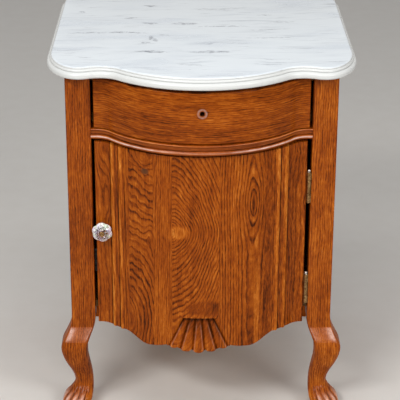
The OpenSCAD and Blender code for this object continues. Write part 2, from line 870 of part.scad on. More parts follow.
module door_stave_1() { door_stave(0); }
module door_stave_2() { door_stave(1); }
module door_stave_3() { door_stave(2); }
module door_stave_4() { door_stave(3); }
module door_stave_5() { door_stave(4); }
module door_stave_6() { door_stave(5); }

// ---- hinges: three knuckles, the middle one on the door ----
knuckle = hinge_h * 0.265;
hinge_zs = [upper_hinge_z, lower_hinge_z];
screw_heights = [0.18, 0.5, 0.82];

module barrel(z0, z1) {
    translate([hinge_x, hinge_y, z0])
        cylinder(d = barrel_d, h = z1 - z0);
}

module pin_hole(z0, z1) {
    translate([hinge_x, hinge_y, z0 - 1])
        cylinder(d = hinge_pin_d + 2 * pin_play, h = z1 - z0 + 2);
}

// screw along +X from the leaf's face; the head is countersunk level
module screw_x(x, y, z, grow = 0) {
    head_r = screw_d;
    translate([x, y, z])
        rotate([0, 90, 0]) {
            cylinder(r1 = head_r + grow, r2 = screw_d / 2 + grow, h = leaf_thick * 0.8);
            cylinder(d = screw_d + 2 * grow, h = screw_long + grow);
        }
}

function screw_y(k) = leaf_wide * (k == 1 ? 0.72 : 0.52);

module frame_screws(z, grow) {
    for (k = [0:2])
        screw_x(post_in - leaf_thick, screw_y(k), z + screw_heights[k] * hinge_h, grow);
}

module door_screws(z, grow) {
    for (k = [0:2])
        translate([2 * door_right, 0, 0])
            mirror([1, 0, 0])
                screw_x(door_right - leaf_thick, screw_y(k), z + screw_heights[k] * hinge_h, grow);
}

module hinge_frame_pilots() {
    for (z = hinge_zs)
        frame_screws(z, pin_play);
}

module hinge_door_pilots() {
    for (z = hinge_zs) {
        door_screws(z, pin_play);
        translate([hinge_x, hinge_y, z - 1])
            cylinder(d = barrel_d + 2 * knuckle_gap, h = hinge_h + 2);
    }
}

module hinge_frame_leaf(z) {
    color(BRASS)
        in_case()
            difference() {
                union() {
                    block(post_in - leaf_thick, post_in, 0, leaf_wide, z, z + hinge_h);
                    barrel(z, z + hinge_h);
                    block(hinge_x, post_in, -leaf_thick, 0, z, z + hinge_h);
                }
                intersection() {
                    translate([hinge_x, hinge_y, z + knuckle - knuckle_gap / 2])
                        cylinder(d = barrel_d + 2 * knuckle_gap, h = hinge_h - 2 * knuckle + knuckle_gap);
                    block(0, post_in, -barrel_d, barrel_d, z, z + hinge_h);
                }
                pin_hole(z, z + hinge_h);
                frame_screws(z, pin_play);
            }
}

module hinge_frame_leaf_upper() { hinge_frame_leaf(upper_hinge_z); }
module hinge_frame_leaf_lower() { hinge_frame_leaf(lower_hinge_z); }

module hinge_door_leaf(z) {
    color(BRASS)
        in_case()
            difference() {
                union() {
                    block(door_right, door_right + leaf_thick, barrel_d / 2, leaf_wide, z, z + hinge_h);
                    block(door_right, door_right + leaf_thick, 0, barrel_d,
                        z + knuckle + knuckle_gap / 2, z + hinge_h - knuckle - knuckle_gap / 2);
                    barrel(z + knuckle + knuckle_gap / 2, z + hinge_h - knuckle - knuckle_gap / 2);
                }
                for (end = [z - 1, z + hinge_h - knuckle - knuckle_gap / 2])
                    translate([hinge_x, hinge_y, end])
                        cylinder(d = barrel_d + 2 * knuckle_gap, h = knuckle + knuckle_gap / 2 + 1);
                pin_hole(z, z + hinge_h);
                door_screws(z, pin_play);
            }
}

module hinge_door_leaf_upper() { hinge_door_leaf(upper_hinge_z); }
module hinge_door_leaf_lower() { hinge_door_leaf(lower_hinge_z); }

module hinge_pin(z) {
    color(BRASS)
        in_case()
            translate([hinge_x, hinge_y, z]) {
                cylinder(d = hinge_pin_d, h = hinge_h + 1);
                translate([0, 0, hinge_h])
                    cylinder(d = ball_d * 0.9, h = 1.2);
                translate([0, 0, hinge_h + ball_d * 0.5])
                    sphere(d = ball_d);
            }
}

module hinge_pin_upper() { hinge_pin(upper_hinge_z); }
module hinge_pin_lower() { hinge_pin(lower_hinge_z); }

module hinge_screws_frame() {
    color(BRASS)
        in_case()
            for (z = hinge_zs)
                frame_screws(z, 0);
}

module hinge_screws_door() {
    color(BRASS)
        in_case()
            for (z = hinge_zs)
                door_screws(z, 0);
}

// ---- glass knob on a bolt ----
// the knob stands in a flat seat cut into the hollow of the door
knob_face = front_set;
seat_play = 0.6;
knob_base = 0.56 * knob_d / 2;
head_d = 10;
head_deep = 2.4;
head_proud = 0.8;
petals = 6;
petal_turn = 39;
bolt_tail = 8;
washer_thick = 1.2;
nut_thick = 4;
nut_d = 1.9 * bolt_d;

module at_knob() {
    in_case()
        translate([knob_x, knob_face, knob_z])
            rotate([90, 0, 0])
                children();
}

module knob_glass() {
    r = knob_d / 2;
    color(GLASS)
        at_knob()
            difference() {
                rotate_extrude($fn = 96)
                    polygon([[0, 0], [knob_base, 0], [r * 0.50, knob_long * 0.10],
                        [r * 0.42, knob_long * 0.22], [r * 0.42, knob_long * 0.34],
                        [r * 0.62, knob_long * 0.46], [r * 0.90, knob_long * 0.57],
                        [r, knob_long * 0.66], [r * 0.97, knob_long * 0.74],
                        [r * 0.72, knob_long * 0.90], [r * 0.42, knob_long], [0, knob_long]]);
                for (k = [0:petals - 1])
                    rotate([0, 0, petal_turn + 360 * (k + 0.5) / petals])
                        translate([r * 1.7, 0, -1])
                            cylinder(r = r * 0.8, h = knob_long + 2);
                translate([0, 0, -1])
                    cylinder(d = bolt_d + 2 * pin_play, h = knob_long + 2);
                translate([0, 0, knob_long - head_deep])
                    cylinder(d = head_d + 2 * pin_play, h = head_deep + 1);
            }
}

module knob_bolt() {
    color(BRASS)
        at_knob() {
            translate([0, 0, -door_thick - bolt_tail])
                cylinder(d = bolt_d, h = knob_long + door_thick + bolt_tail - head_deep + eps);
            translate([0, 0, knob_long - head_deep])
                rotate_extrude()
                    polygon(concat([[0, 0], [head_d / 2, 0]], [for (a = [0:15:90])
                        [head_d / 2 * cos(a), head_deep / 2 + (head_deep / 2 + head_proud) * sin(a)]]));
        }
}

module knob_washer() {
    color(BRASS)
        at_knob()
            translate([0, 0, -door_thick - washer_thick])
                difference() {
                    cylinder(d = head_d + 2, h = washer_thick);
                    translate([0, 0, -lap])
                        cylinder(d = bolt_d + 2 * pin_play, h = washer_thick + 2 * lap);
                }
}

module knob_nut() {
    color(BRASS)
        at_knob()
            translate([0, 0, -door_thick - washer_thick - nut_thick])
                difference() {
                    cylinder(d = nut_d, h = nut_thick, $fn = 6);
                    translate([0, 0, -lap])
                        cylinder(d = bolt_d + 2 * pin_play, h = nut_thick + 2 * lap);
                }
}

// ---- door catch: a block on the left post, a steel strike on the door ----
catch_front = door_back + strike_thick + 0.3;
catch_screw_zs = [catch_z - catch_long * 0.28, catch_z + catch_long * 0.28];
strike_x = -post_in + catch_wide;

module catch_screw(z, grow) {
    translate([-post_in + catch_wide, catch_front + catch_deep * 0.6, z])
        mirror([1, 0, 0])
            rotate([0, 90, 0]) {
                cylinder(r1 = screw_d + grow, r2 = screw_d / 2 + grow, h = 1.6);
                cylinder(d = screw_d + 2 * grow, h = catch_wide + 10 + grow);
            }
}

module catch_pilots() {
    for (z = catch_screw_zs)
        catch_screw(z, pin_play);
}

module catch_body() {
    color(STEEL)
        in_case()
            difference() {
                block(-post_in, -post_in + catch_wide, catch_front, catch_front + catch_deep,
                    catch_z - catch_long / 2, catch_z + catch_long / 2);
                catch_pilots();
            }
}

module catch_screws() {
    color(BRASS)
        in_case()
            for (z = catch_screw_zs)
                catch_screw(z, 0);
}

module strike_screw(z, grow) {
    translate([strike_x, door_back + strike_thick, z])
        rotate([90, 0, 0]) {
            cylinder(r1 = screw_d * 0.9 + grow, r2 = screw_d / 2 + grow, h = strike_thick);
            cylinder(d = screw_d + 2 * grow, h = door_thick * 0.6 + grow);
        }
}

strike_screw_zs = [catch_z - catch_long * 0.38, catch_z + catch_long * 0.38];

module strike_pilots() {
    for (z = strike_screw_zs)
        strike_screw(z, pin_play);
}

module catch_strike() {
    color(STEEL)
        in_case()
            difference() {
                block(strike_x - catch_wide / 2, strike_x + catch_wide / 2, door_back,
                    door_back + strike_thick, catch_z - catch_long / 2, catch_z + catch_long / 2);
                strike_pilots();
            }
}

module strike_screws() {
    color(BRASS)
        in_case()
            for (z = strike_screw_zs)
                strike_screw(z, 0);
}

marble_top();
front_leg_left();
front_leg_right();
back_leg_left();
back_leg_right();
side_rail_top_left();
side_rail_top_right();
side_rail_low_left();
side_rail_low_right();
side_panel_left();
side_panel_right();
back_rail_top();
back_rail_middle();
back_rail_low();
back_panel_upper();
back_panel_lower();
front_top_rail();
drawer_rail();
runner_left();
runner_right();
guide_left();
guide_right();
kicker_left();
kicker_right();
bottom_board();
cleat_left();
cleat_right();
drawer_front();
drawer_side_left();
drawer_side_right();
drawer_back();
drawer_bottom();
door_stave_1();
door_stave_2();
door_stave_3();
door_stave_4();
door_stave_5();
door_stave_6();
hinge_frame_leaf_upper();
hinge_frame_leaf_lower();
hinge_door_leaf_upper();
hinge_door_leaf_lower();
hinge_pin_upper();
hinge_pin_lower();
hinge_screws_frame();
hinge_screws_door();
knob_glass();
knob_bolt();
knob_washer();
knob_nut();
catch_body();
catch_screws();
catch_strike();
strike_screws();
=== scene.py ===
"""Looks of a bedside pot cupboard: an oak stand with a marble top, a drawer and a bowed door.

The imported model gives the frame. Outlines are worked out in millimetres in the case's own
frame (X from the middle, Y from the front posts' faces, Z from the floor) and then placed.
"""

import math

import bmesh
import bpy
import numpy as np
from mathutils import Matrix, Vector


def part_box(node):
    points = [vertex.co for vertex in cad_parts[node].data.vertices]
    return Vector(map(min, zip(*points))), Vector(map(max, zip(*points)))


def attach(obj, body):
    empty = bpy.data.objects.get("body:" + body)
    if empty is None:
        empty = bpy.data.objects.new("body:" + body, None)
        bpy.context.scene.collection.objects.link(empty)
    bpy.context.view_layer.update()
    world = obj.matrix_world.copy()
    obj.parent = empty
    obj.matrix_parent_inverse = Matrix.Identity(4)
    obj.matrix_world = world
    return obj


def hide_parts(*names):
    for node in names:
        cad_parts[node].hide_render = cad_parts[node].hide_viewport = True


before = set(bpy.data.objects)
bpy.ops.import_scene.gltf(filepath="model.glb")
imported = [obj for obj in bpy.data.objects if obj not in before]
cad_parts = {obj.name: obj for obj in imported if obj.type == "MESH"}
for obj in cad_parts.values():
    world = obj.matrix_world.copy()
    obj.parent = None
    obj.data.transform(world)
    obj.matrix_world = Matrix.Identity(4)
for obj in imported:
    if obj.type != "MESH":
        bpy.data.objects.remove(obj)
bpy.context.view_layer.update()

MM = 0.001


# ---- places taken from the frame ----
def middle(node):
    low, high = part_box(node)
    return (low + high) / 2


CASE_FRONT = middle("hinge_pin_upper").y


def span(node):
    """Low and high corner of a node in millimetres, in the case's frame."""
    return [np.array([v.x, v.y - CASE_FRONT, v.z]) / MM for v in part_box(node)]


TOP_LOW, TOP_HIGH = span("marble_top")
RAIL_LOW, RAIL_HIGH = span("drawer_rail")
DRAWER_LOW, DRAWER_HIGH = span("drawer_front")
LEG_HIGH = span("front_leg_left")[1]
KNOB_LOW, KNOB_HIGH = span("knob_glass")
KNOB_MIDDLE = (KNOB_LOW + KNOB_HIGH) / 2
KNOB_RADIUS = (KNOB_HIGH[2] - KNOB_LOW[2]) / 2
POST_OUT = -span("back_leg_left")[0][0]
POST_IN = span("hinge_frame_leaf_upper")[1][0]
POST_SIZE = POST_OUT - POST_IN
STAVES = [span(f"door_stave_{k}") for k in range(1, 7)]
DOOR_HIGH = STAVES[0][1][2]
DOOR_LOW_POINT = min(low[2] for low, _ in STAVES)

FLAT_END = 8.0
HOLLOW_RADIUS = 35.0
FRONT_SET = 2.0
BOARD_THICK = 22.0
RAIL_DEEP = 40.0
BOW_END = POST_IN - FLAT_END
SHARP = 32  # degrees; steeper edges are shaded sharp


# ---- front lines ----
class Bow:
    """Front line of a bowed piece: a convex arc between two hollows that end in flats."""

    def __init__(self, reach, flat_y):
        self.flat_y = flat_y
        total = (BOW_END**2 + reach**2) / (2 * reach)
        self.radius = total - HOLLOW_RADIUS
        self.centre_y = flat_y + self.radius - reach
        self.join = BOW_END * self.radius / total

    def point(self, x):
        """Place and outward normal of the line at each x."""
        x = np.asarray(x, float)
        size = np.abs(x)
        side = np.sign(x)
        arc_y = self.centre_y - np.sqrt(np.maximum(self.radius**2 - x**2, 0))
        off = np.clip(BOW_END - size, 0, HOLLOW_RADIUS)
        hollow_y = self.flat_y - HOLLOW_RADIUS + np.sqrt(HOLLOW_RADIUS**2 - off**2)
        on_arc = size < self.join
        on_hollow = (size >= self.join) & (size < BOW_END)
        y = np.where(on_arc, arc_y, np.where(on_hollow, hollow_y, self.flat_y))
        nx = np.where(on_arc, x / self.radius, np.where(on_hollow, side * off / HOLLOW_RADIUS, 0))
        ny = -np.sqrt(1 - nx**2)
        return y, nx, ny

    def behind(self, x, thick, back):
        """Y of the scooped rear face at x."""
        inner = self.radius - thick
        y = self.centre_y - np.sqrt(np.maximum(inner**2 - np.asarray(x, float) ** 2, 0))
        return np.where(np.abs(x) < inner, np.minimum(y, back), back)


DRAWER_BOW = Bow(FRONT_SET - DRAWER_LOW[1], FRONT_SET)
RAIL_BOW = Bow(-RAIL_LOW[1], 0.0)
DOOR_BOW = Bow(FRONT_SET - min(low[1] for low, _ in STAVES), FRONT_SET)


# ---- meshes ----
def put(points):
    """Millimetres in the case's frame to metres in the model's frame."""
    return np.asarray(points, float) * MM + np.array([0, CASE_FRONT, 0])


def add(name, data):
    """A new object in the scene."""
    added = bpy.data.objects.new(name, data)
    bpy.context.scene.collection.objects.link(added)
    return added


def build(name, points, faces, body, material, replaces, sharp=SHARP, painted_shading=None, painted_sheen=None):
    """A piece with its body, material and CAD nodes; one value per point paints shade into it (light
    where below zero), another paints highlights.
    """
    mesh = bpy.data.meshes.new(name)
    mesh.from_pydata([tuple(p) for p in put(points)], [], [tuple(f) for f in faces])
    for label, values in (("painted_shading", painted_shading), ("painted_sheen", painted_sheen)):
        if values is not None:
            layer = mesh.attributes.new(label, "FLOAT", "POINT")
            layer.data.foreach_set("value", np.asarray(values, float))
    mesh.validate()
    shell = bmesh.new()
    shell.from_mesh(mesh)
    bmesh.ops.recalc_face_normals(shell, faces=shell.faces)
    shell.to_mesh(mesh)
    shell.free()
    mesh.shade_smooth()
    mesh.set_sharp_from_angle(angle=math.radians(sharp))
    piece = add(name, mesh)
    mesh.materials.append(material)
    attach(piece, body)
    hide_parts(*replaces)
    return piece


def skin(rings, closed=False):
    """Points and quads over closed rings of equal length; the two ends are joined or capped."""
    m, n = len(rings), len(rings[0])
    points = np.concatenate([np.asarray(r, float) for r in rings])
    faces = []
    for j in range(m if closed else m - 1):
        a, b = j * n, ((j + 1) % m) * n
        faces += [(a + k, a + (k + 1) % n, b + (k + 1) % n, b + k) for k in range(n)]
    if not closed:
        faces.append(tuple(range(n - 1, -1, -1)))
        faces.append(tuple(range((m - 1) * n, m * n)))
    return points, faces


def arc(centre, radius, start, end, count):
    """Points of an arc; angles in degrees, from +X towards +Y. The radius may be a pair."""
    rx, ry = radius if isinstance(radius, tuple) else (radius, radius)
    t = np.radians(np.linspace(start, end, count))
    return np.stack([centre[0] + rx * np.cos(t), centre[1] + ry * np.sin(t)], 1)


def circle(centre, radius, sides):
    return arc(centre, radius, 0, 360 - 360 / sides, sides)


def smooth_step(low, high, x):
    t = np.clip((np.asarray(x, float) - low) / (high - low), 0, 1)
    return t * t * (3 - 2 * t)


def eased(distance, radius):
    """How far a face falls back at a distance from its rounded edge."""
    gap = np.clip(radius - distance, 0, radius)
    return radius - np.sqrt(np.maximum(radius**2 - gap**2, 0))


# ---- shader graph ----
def srgb(red, green, blue):
    def linear(c):
        c /= 255
        return c / 12.92 if c <= 0.04045 else ((c + 0.055) / 1.055) ** 2.4

    return (linear(red), linear(green), linear(blue), 1.0)


class Value:
    """A shader value; sums, products and functions of it add Math nodes."""

    def __init__(self, graph, socket):
        self.graph = graph
        self.socket = socket

    def op(self, operation, *others):
        node = self.graph.tree.nodes.new("ShaderNodeMath")
        node.operation = operation
        for slot, value in zip(node.inputs, (self, *others)):
            self.graph.join(value, slot)
        return Value(self.graph, node.outputs[0])

    def __add__(self, other):
        return self.op("ADD", other)

    def __sub__(self, other):
        return self.op("SUBTRACT", other)

    def __mul__(self, other):
        return self.op("MULTIPLY", other)

    def __truediv__(self, other):
        return self.op("DIVIDE", other)

    def root(self):
        return self.op("SQRT")

    def ramp(self, low, high, start=0.0, end=1.0):
        """start at low to end at high, smoothly, and level outside."""
        node = self.graph.tree.nodes.new("ShaderNodeMapRange")
        node.interpolation_type = "SMOOTHSTEP"
        self.graph.join(self, node.inputs["Value"])
        for name, number in (("From Min", low), ("From Max", high), ("To Min", start), ("To Max", end)):
            node.inputs[name].default_value = number
        return Value(self.graph, node.outputs["Result"])


class Graph:
    """A material's node tree, with its Principled shader."""

    def __init__(self, name, **settings):
        self.material = bpy.data.materials.new(name)
        self.material.use_nodes = True
        self.tree = self.material.node_tree
        self.shader = self.tree.nodes["Principled BSDF"]
        for socket, value in settings.items():
            self.shader.inputs[socket.replace("_", " ")].default_value = value
        coordinates = self.tree.nodes.new("ShaderNodeTexCoord")
        self.place = self.scaled(Value(self, coordinates.outputs["Object"]), (1 / MM,) * 3)
        self.x, self.y, self.z = self.split(self.place)

    def join(self, value, slot):
        if isinstance(value, Value):
            self.tree.links.new(value.socket, slot)
        else:
            slot.default_value = value

    def scaled(self, vector, factors):
        node = self.tree.nodes.new("ShaderNodeVectorMath")
        node.operation = "MULTIPLY"
        self.join(vector, node.inputs[0])
        node.inputs[1].default_value = factors
        return Value(self, node.outputs[0])

    def split(self, vector):
        node = self.tree.nodes.new("ShaderNodeSeparateXYZ")
        self.join(vector, node.inputs[0])
        return [Value(self, output) for output in node.outputs]

    def vector(self, x, y, z):
        node = self.tree.nodes.new("ShaderNodeCombineXYZ")
        for slot, value in zip(node.inputs, (x, y, z)):
            self.join(value, slot)
        return Value(self, node.outputs[0])

    def noise(self, vector, detail=2.0, rough=0.5):
        """Noise of about one cycle per unit of the vector, from 0 to 1."""
        node = self.tree.nodes.new("ShaderNodeTexNoise")
        self.join(vector, node.inputs["Vector"])
        node.inputs["Scale"].default_value = 1.0
        node.inputs["Detail"].default_value = detail
        node.inputs["Roughness"].default_value = rough
        return Value(self, node.outputs["Fac"])

    def speckle(self, scale, **options):
        """Noise of about so many cycles per millimetre, alike in all directions."""
        return self.noise(self.scaled(self.place, (scale,) * 3), **options)

    def attribute(self, name):
        node = self.tree.nodes.new("ShaderNodeAttribute")
        node.attribute_name = name
        return Value(self, node.outputs["Fac"])

    def tones(self, value, stops):
        """Colour of a value from 0 to 1, between the stops (place, colour)."""
        node = self.tree.nodes.new("ShaderNodeValToRGB")
        ramp = node.color_ramp
        while len(ramp.elements) < len(stops):
            ramp.elements.new(0.5)
        for element, (place, colour) in zip(ramp.elements, stops):
            element.position = place
            element.color = colour
        self.join(value, node.inputs["Fac"])
        return Value(self, node.outputs["Color"])

    def mix(self, factor, first, second):
        node = self.tree.nodes.new("ShaderNodeMix")
        node.data_type = "RGBA"
        self.join(factor, node.inputs[0])
        self.join(first, node.inputs[6])
        self.join(second, node.inputs[7])
        return Value(self, node.outputs[2])

    def bump(self, height, distance):
        """Bump of the height value, whose range 0 to 1 stands for the distance in metres."""
        node = self.tree.nodes.new("ShaderNodeBump")
        node.inputs["Strength"].default_value = 1.0
        node.inputs["Distance"].default_value = distance
        self.join(height, node.inputs["Height"])
        self.tree.links.new(node.outputs[0], self.shader.inputs["Normal"])

    def colour(self, value):
        self.join(value, self.shader.inputs["Base Color"])

    def rough(self, value):
        self.join(value, self.shader.inputs["Roughness"])


# ---- oak ----
OAK_TONES = (
    (0.0, srgb(58, 24, 3)), (0.2, srgb(98, 41, 4)), (0.4, srgb(132, 58, 7)),
    (0.58, srgb(155, 75, 12)), (0.78, srgb(184, 100, 26)), (1.0, srgb(212, 136, 58)))
OAK_PORE = srgb(40, 16, 4)
KNOT = srgb(80, 50, 30)
# colours of the painted highlights that stand in for the varnish's reflections
SHEEN_FAINT = srgb(204, 130, 88)
SHEEN_FULL = srgb(226, 200, 190)
WORN = srgb(162, 134, 124)


class Board:
    """How a board was cut from its log: the grain's direction, the ring lines and the tone.

    cone is the middle along the grain, the slope, the length of the slope, the roundness and the
    slope further out. A swell is a place, its half sizes and its rise; a knot or a seat is a place
    and a size; a calm place has half sizes and a lift in tone, and its ring lines fade.
    """

    grain = "z"
    pith = (0, 60)
    lean = 0.0
    spacing = 4.5
    cone = None
    swells = knots = calm = seats = ()
    wave = 3.0
    tone = 0.55
    contrast = 0.6
    stroke = 0.13
    bent = False
    coat = 0.16

    def __init__(self, name, seed, **cut):
        self.name = name
        self.seed = seed
        self.__dict__.update(cut)


def board_axes(graph, grain):
    """Across, through and along the grain, in millimetres from the front posts' faces."""
    depth = graph.y - CASE_FRONT / MM
    if grain == "z":
        return graph.x, depth, graph.z
    if grain == "side":
        return depth, graph.x, graph.z
    if grain == "x":
        return graph.z, depth, graph.x
    return graph.x, graph.z, depth


def spot(across, along, at_across, at_along, wide, high):
    """A soft round spot, 1 in its middle and 0 away from it."""
    fx = (across - at_across) / wide
    fz = (along - at_along) / high
    return ((fx * fx + fz * fz) * -1.0).op("EXPONENT")


def ring_field(graph, board, across, through, along):
    """Distance from the pith in millimetres, bent by the cone and the swells."""
    dx = across - board.pith[0]
    dy = through - board.pith[1]
    if board.cone:
        centre, slope, length, soft, far = board.cone
        dz = ((along - centre) / length).op("TANH") * (slope * length) + (along - centre) * far
        field = (dx * dx + dz * dz + soft**2).root()
    else:
        field = (dx * dx + dy * dy).root() + along * board.lean
    for at_x, at_z, wide, high, rise in board.swells:
        field = field + spot(across, along, at_x, at_z, wide, high) * rise
    return field


def oak(board):
    graph = Graph(board.name, Roughness=0.42, Specular_IOR_Level=0.02, Coat_Weight=board.coat,
                  Coat_Roughness=0.2)
    across, through, along = board_axes(graph, board.grain)
    shift = board.seed * 97.0
    depth = through * 0.03 if board.bent else through

    def streaks(wide, long, **options):
        return graph.noise(graph.vector(across / wide + shift, depth / wide, along / long), **options)

    field = ring_field(graph, board, across, through, along)
    field = field + (streaks(30, 110) - 0.5) * (board.wave * 4)
    field = field + (streaks(8, 24) - 0.5) * (board.wave * 1.1)
    uneven = graph.noise(graph.vector(field / (board.spacing * 2.6), shift, 0.0), detail=1.0)
    phase = field / board.spacing + uneven * 0.9
    ring = phase.op("FRACT")
    year = graph.noise(graph.vector(phase.op("FLOOR") * 7.31, shift, 3.0), detail=0.0)
    line = ring.ramp(0.40, 0.82) - ring.ramp(0.88, 1.0)
    line = line * year.ramp(0.25, 0.70, 0.4, 1.0)

    def follow(wide, long, **options):
        """Streaks that run along the ring lines."""
        place = graph.vector(field / wide + shift, across / long, along / long)
        return graph.noise(place, **options)

    broken = streaks(2.0, 11, rough=0.6)
    fine = follow(2.4, 15, rough=0.6)
    strokes = streaks(2.2, 16, detail=1.0, rough=0.6)
    fibre = streaks(1.2, 30, detail=3.0, rough=0.65)
    pores = streaks(0.5, 6.0, detail=1.0).ramp(0.56, 0.70) * line.ramp(0.0, 1.0, 0.35, 1.0)
    cloud = streaks(46, 150)
    flame = streaks(12, 70, detail=1.0)
    line = line * broken.ramp(0.34, 0.60, 0.5, 1.1)

    tone = (cloud - 0.5) * 0.45 + (flame - 0.5) * 0.40 + board.tone
    tone = tone - fine.ramp(0.50, 0.68, 0.0, board.stroke) + fine.ramp(0.32, 0.48, board.stroke, 0.0)
    tone = tone - strokes.ramp(0.54, 0.70, 0.0, board.stroke * 0.7)
    tone = tone + (fibre - 0.5) * 0.6
    for at_x, at_z, wide, high, lift in board.calm:
        still = spot(across, along, at_x, at_z, wide, high).ramp(0.3, 0.75)
        line = line * (still * -0.95 + 1.0)
        tone = tone + still * lift
    tone = tone - line * (board.contrast * 0.42)
    # painted shade from each point's value (painted light where it is below zero)
    tone = tone - graph.attribute("painted_shading") * 0.6
    colour = graph.tones(tone, OAK_TONES)
    colour = graph.mix(pores * 0.6, colour, OAK_PORE)
    for at_x, at_z, size in board.knots:
        mark = spot(across, along, at_x, at_z, size, size * 0.8)
        colour = graph.mix(mark.ramp(0.3, 0.8, 0.0, 0.85), colour, KNOT)
    for at_x, at_z, size in board.seats:
        off = ((across - at_x) * (across - at_x) + (along - at_z) * (along - at_z)).root()
        patchy = streaks(4, 4).ramp(0.36, 0.60, 0.55, 1.0)
        rubbed = off.ramp(size - 2.0, size, 0.62, 0.0) * off.ramp(size - 5.0, size - 2.8, 0.1, 1.0)
        colour = graph.mix(rubbed * patchy, colour, WORN)
        colour = graph.mix((off - size - 0.6).op("ABSOLUTE").ramp(0.2, 1.1, 0.3, 0.0), colour, OAK_PORE)
        colour = graph.mix(off.ramp(size - 5.8, size - 4.8, 0.8, 0.0), colour, OAK_PORE)
    # painted highlight: the varnish's reflection, patchy, tan where faint and near white where full
    painted_sheen = graph.attribute("painted_sheen")
    patches = streaks(7, 9).ramp(0.36, 0.60, 0.7, 1.1)
    colour = graph.mix(painted_sheen * fibre.ramp(0.30, 0.60, 0.65, 1.1) * patches, colour,
                       graph.mix(painted_sheen, SHEEN_FAINT, SHEEN_FULL))
    graph.colour(colour)
    graph.rough(fibre.ramp(0.3, 0.7, 0.36, 0.48))
    graph.bump((line * 0.35 + broken * 0.3 + pores) * -1.0, 0.00010)
    return graph.material


def pine(name, grain, seed):
    """Bare pine, browned by age."""
    graph = Graph(name, Roughness=0.62, Specular_IOR_Level=0.2)
    across, through, along = board_axes(graph, grain)
    shift = seed * 61.0

    def streaks(wide, long, **options):
        return graph.noise(graph.vector(across / wide + shift, through / wide, along / long), **options)

    field = across * 0.4 + through * 0.9 + (streaks(60, 300) - 0.5) * 60.0
    ring = (field / 7.0).op("FRACT").ramp(0.45, 0.97)
    fibre = streaks(0.9, 30, detail=3.0, rough=0.6)
    stain = streaks(70, 90, detail=3.0)
    colour = graph.mix(stain.ramp(0.3, 0.7), srgb(196, 152, 98), srgb(168, 122, 74))
    colour = graph.mix(ring * 0.5, colour, srgb(146, 92, 46))
    colour = graph.mix(fibre.ramp(0.45, 0.7, 0.0, 0.4), colour, srgb(122, 82, 46))
    graph.colour(colour)
    graph.bump(fibre, 0.00015)
    return graph.material


# ---- scene ----
def make_camera():
    """The photograph's camera: 22.5 degrees down, on a long lens."""
    data = bpy.data.cameras.new("camera")
    data.sensor_width = 36
    data.lens = 137.81
    camera = add("camera", data)
    turn, tip, roll = math.radians(-0.4655), math.radians(67.5), math.radians(0.2084)
    place = Vector((-23.42, -2705.81, 1478.14)) * MM
    camera.matrix_world = (
        Matrix.Translation(place) @ Matrix.Rotation(turn, 4, "Z")
        @ Matrix.Rotation(tip, 4, "X") @ Matrix.Rotation(roll, 4, "Z"))
    bpy.context.scene.camera = camera


def make_lamp(name, place, aim, size, power):
    data = bpy.data.lights.new(name, "AREA")
    data.shape = "RECTANGLE"
    data.size, data.size_y = size
    data.energy = power
    lamp = add(name, data)
    lamp.location = place
    lamp.rotation_euler = (Vector(aim) - Vector(place)).to_track_quat("-Z", "Y").to_euler()


def make_world():
    """A dim fill for the object, and a pale background for what looks straight at the room."""
    world = bpy.data.worlds.new("studio")
    bpy.context.scene.world = world
    world.use_nodes = True
    nodes, links = world.node_tree.nodes, world.node_tree.links
    nodes.clear()
    path = nodes.new("ShaderNodeLightPath")

    def larger(first, second):
        node = nodes.new("ShaderNodeMath")
        node.operation = "MAXIMUM"
        links.new(first, node.inputs[0])
        links.new(second, node.inputs[1])
        return node.outputs[0]

    def background(colour, strength):
        node = nodes.new("ShaderNodeBackground")
        node.inputs["Color"].default_value = colour
        node.inputs["Strength"].default_value = strength
        return node.outputs[0]

    camera, glossy, through = (
        path.outputs[f"Is {ray} Ray"] for ray in ("Camera", "Glossy", "Transmission"))
    mix = nodes.new("ShaderNodeMixShader")
    links.new(larger(camera, larger(glossy, through)), mix.inputs[0])
    links.new(background((0.95, 0.97, 1.0, 1), 0.37), mix.inputs[1])
    links.new(background(srgb(216, 212, 206), 1.0), mix.inputs[2])
    out = nodes.new("ShaderNodeOutputWorld")
    links.new(mix.outputs[0], out.inputs[0])


FLOOR_RADIUS = 12.0
FLOOR_SIDES = 96


def make_floor():
    mesh = bpy.data.meshes.new("floor")
    ring = circle((0, 0), FLOOR_RADIUS, FLOOR_SIDES)
    mesh.from_pydata([(x, y, 0.0) for x, y in ring], [], [tuple(range(FLOOR_SIDES))])
    floor = add("floor", mesh)
    graph = Graph("floor_paint", Roughness=0.7, Specular_IOR_Level=0.2)
    speckle = graph.speckle(0.02, detail=3.0)
    graph.colour(graph.mix(speckle, srgb(214, 209, 202), srgb(220, 216, 210)))
    mesh.materials.append(graph.material)


# ---- marble ----
DIP_X = 175.0
DIP_Y = -28.5
BOW_SIDE_RADIUS = 40.5
CORNER_SIDE_RADIUS = 58.0
CORNER = (213.0, 69.5)
CORNER_RADII = (62.0, 106.0)
FOOT_RADIUS = 4.2
NOSE_RADII = (6.4, 6.3)
ARRIS = 1.2
BACK_POINTS = 40


def marble_line():
    """Right half of the outline from the middle of the bow to the back corner."""
    reach = DIP_Y - TOP_LOW[1]
    total = (DIP_X**2 + reach**2) / (2 * reach)
    radius = total - BOW_SIDE_RADIUS
    half = math.degrees(math.asin(DIP_X / total))
    front = arc((0, TOP_LOW[1] + radius), radius, -90, -90 + half, 60)
    hollow = arc((DIP_X, DIP_Y - BOW_SIDE_RADIUS), BOW_SIDE_RADIUS, 90 + half, 90, 16)
    rise = arc((DIP_X, DIP_Y - CORNER_SIDE_RADIUS), CORNER_SIDE_RADIUS, 90, 66.5, 12)
    corner = arc(CORNER, CORNER_RADII, -103.5, 0, 44)
    side = np.array([[TOP_HIGH[0], y] for y in np.linspace(CORNER[1] + 20, TOP_HIGH[1], 18)])
    return np.concatenate([front, hollow[1:], rise[1:], corner[1:], side])


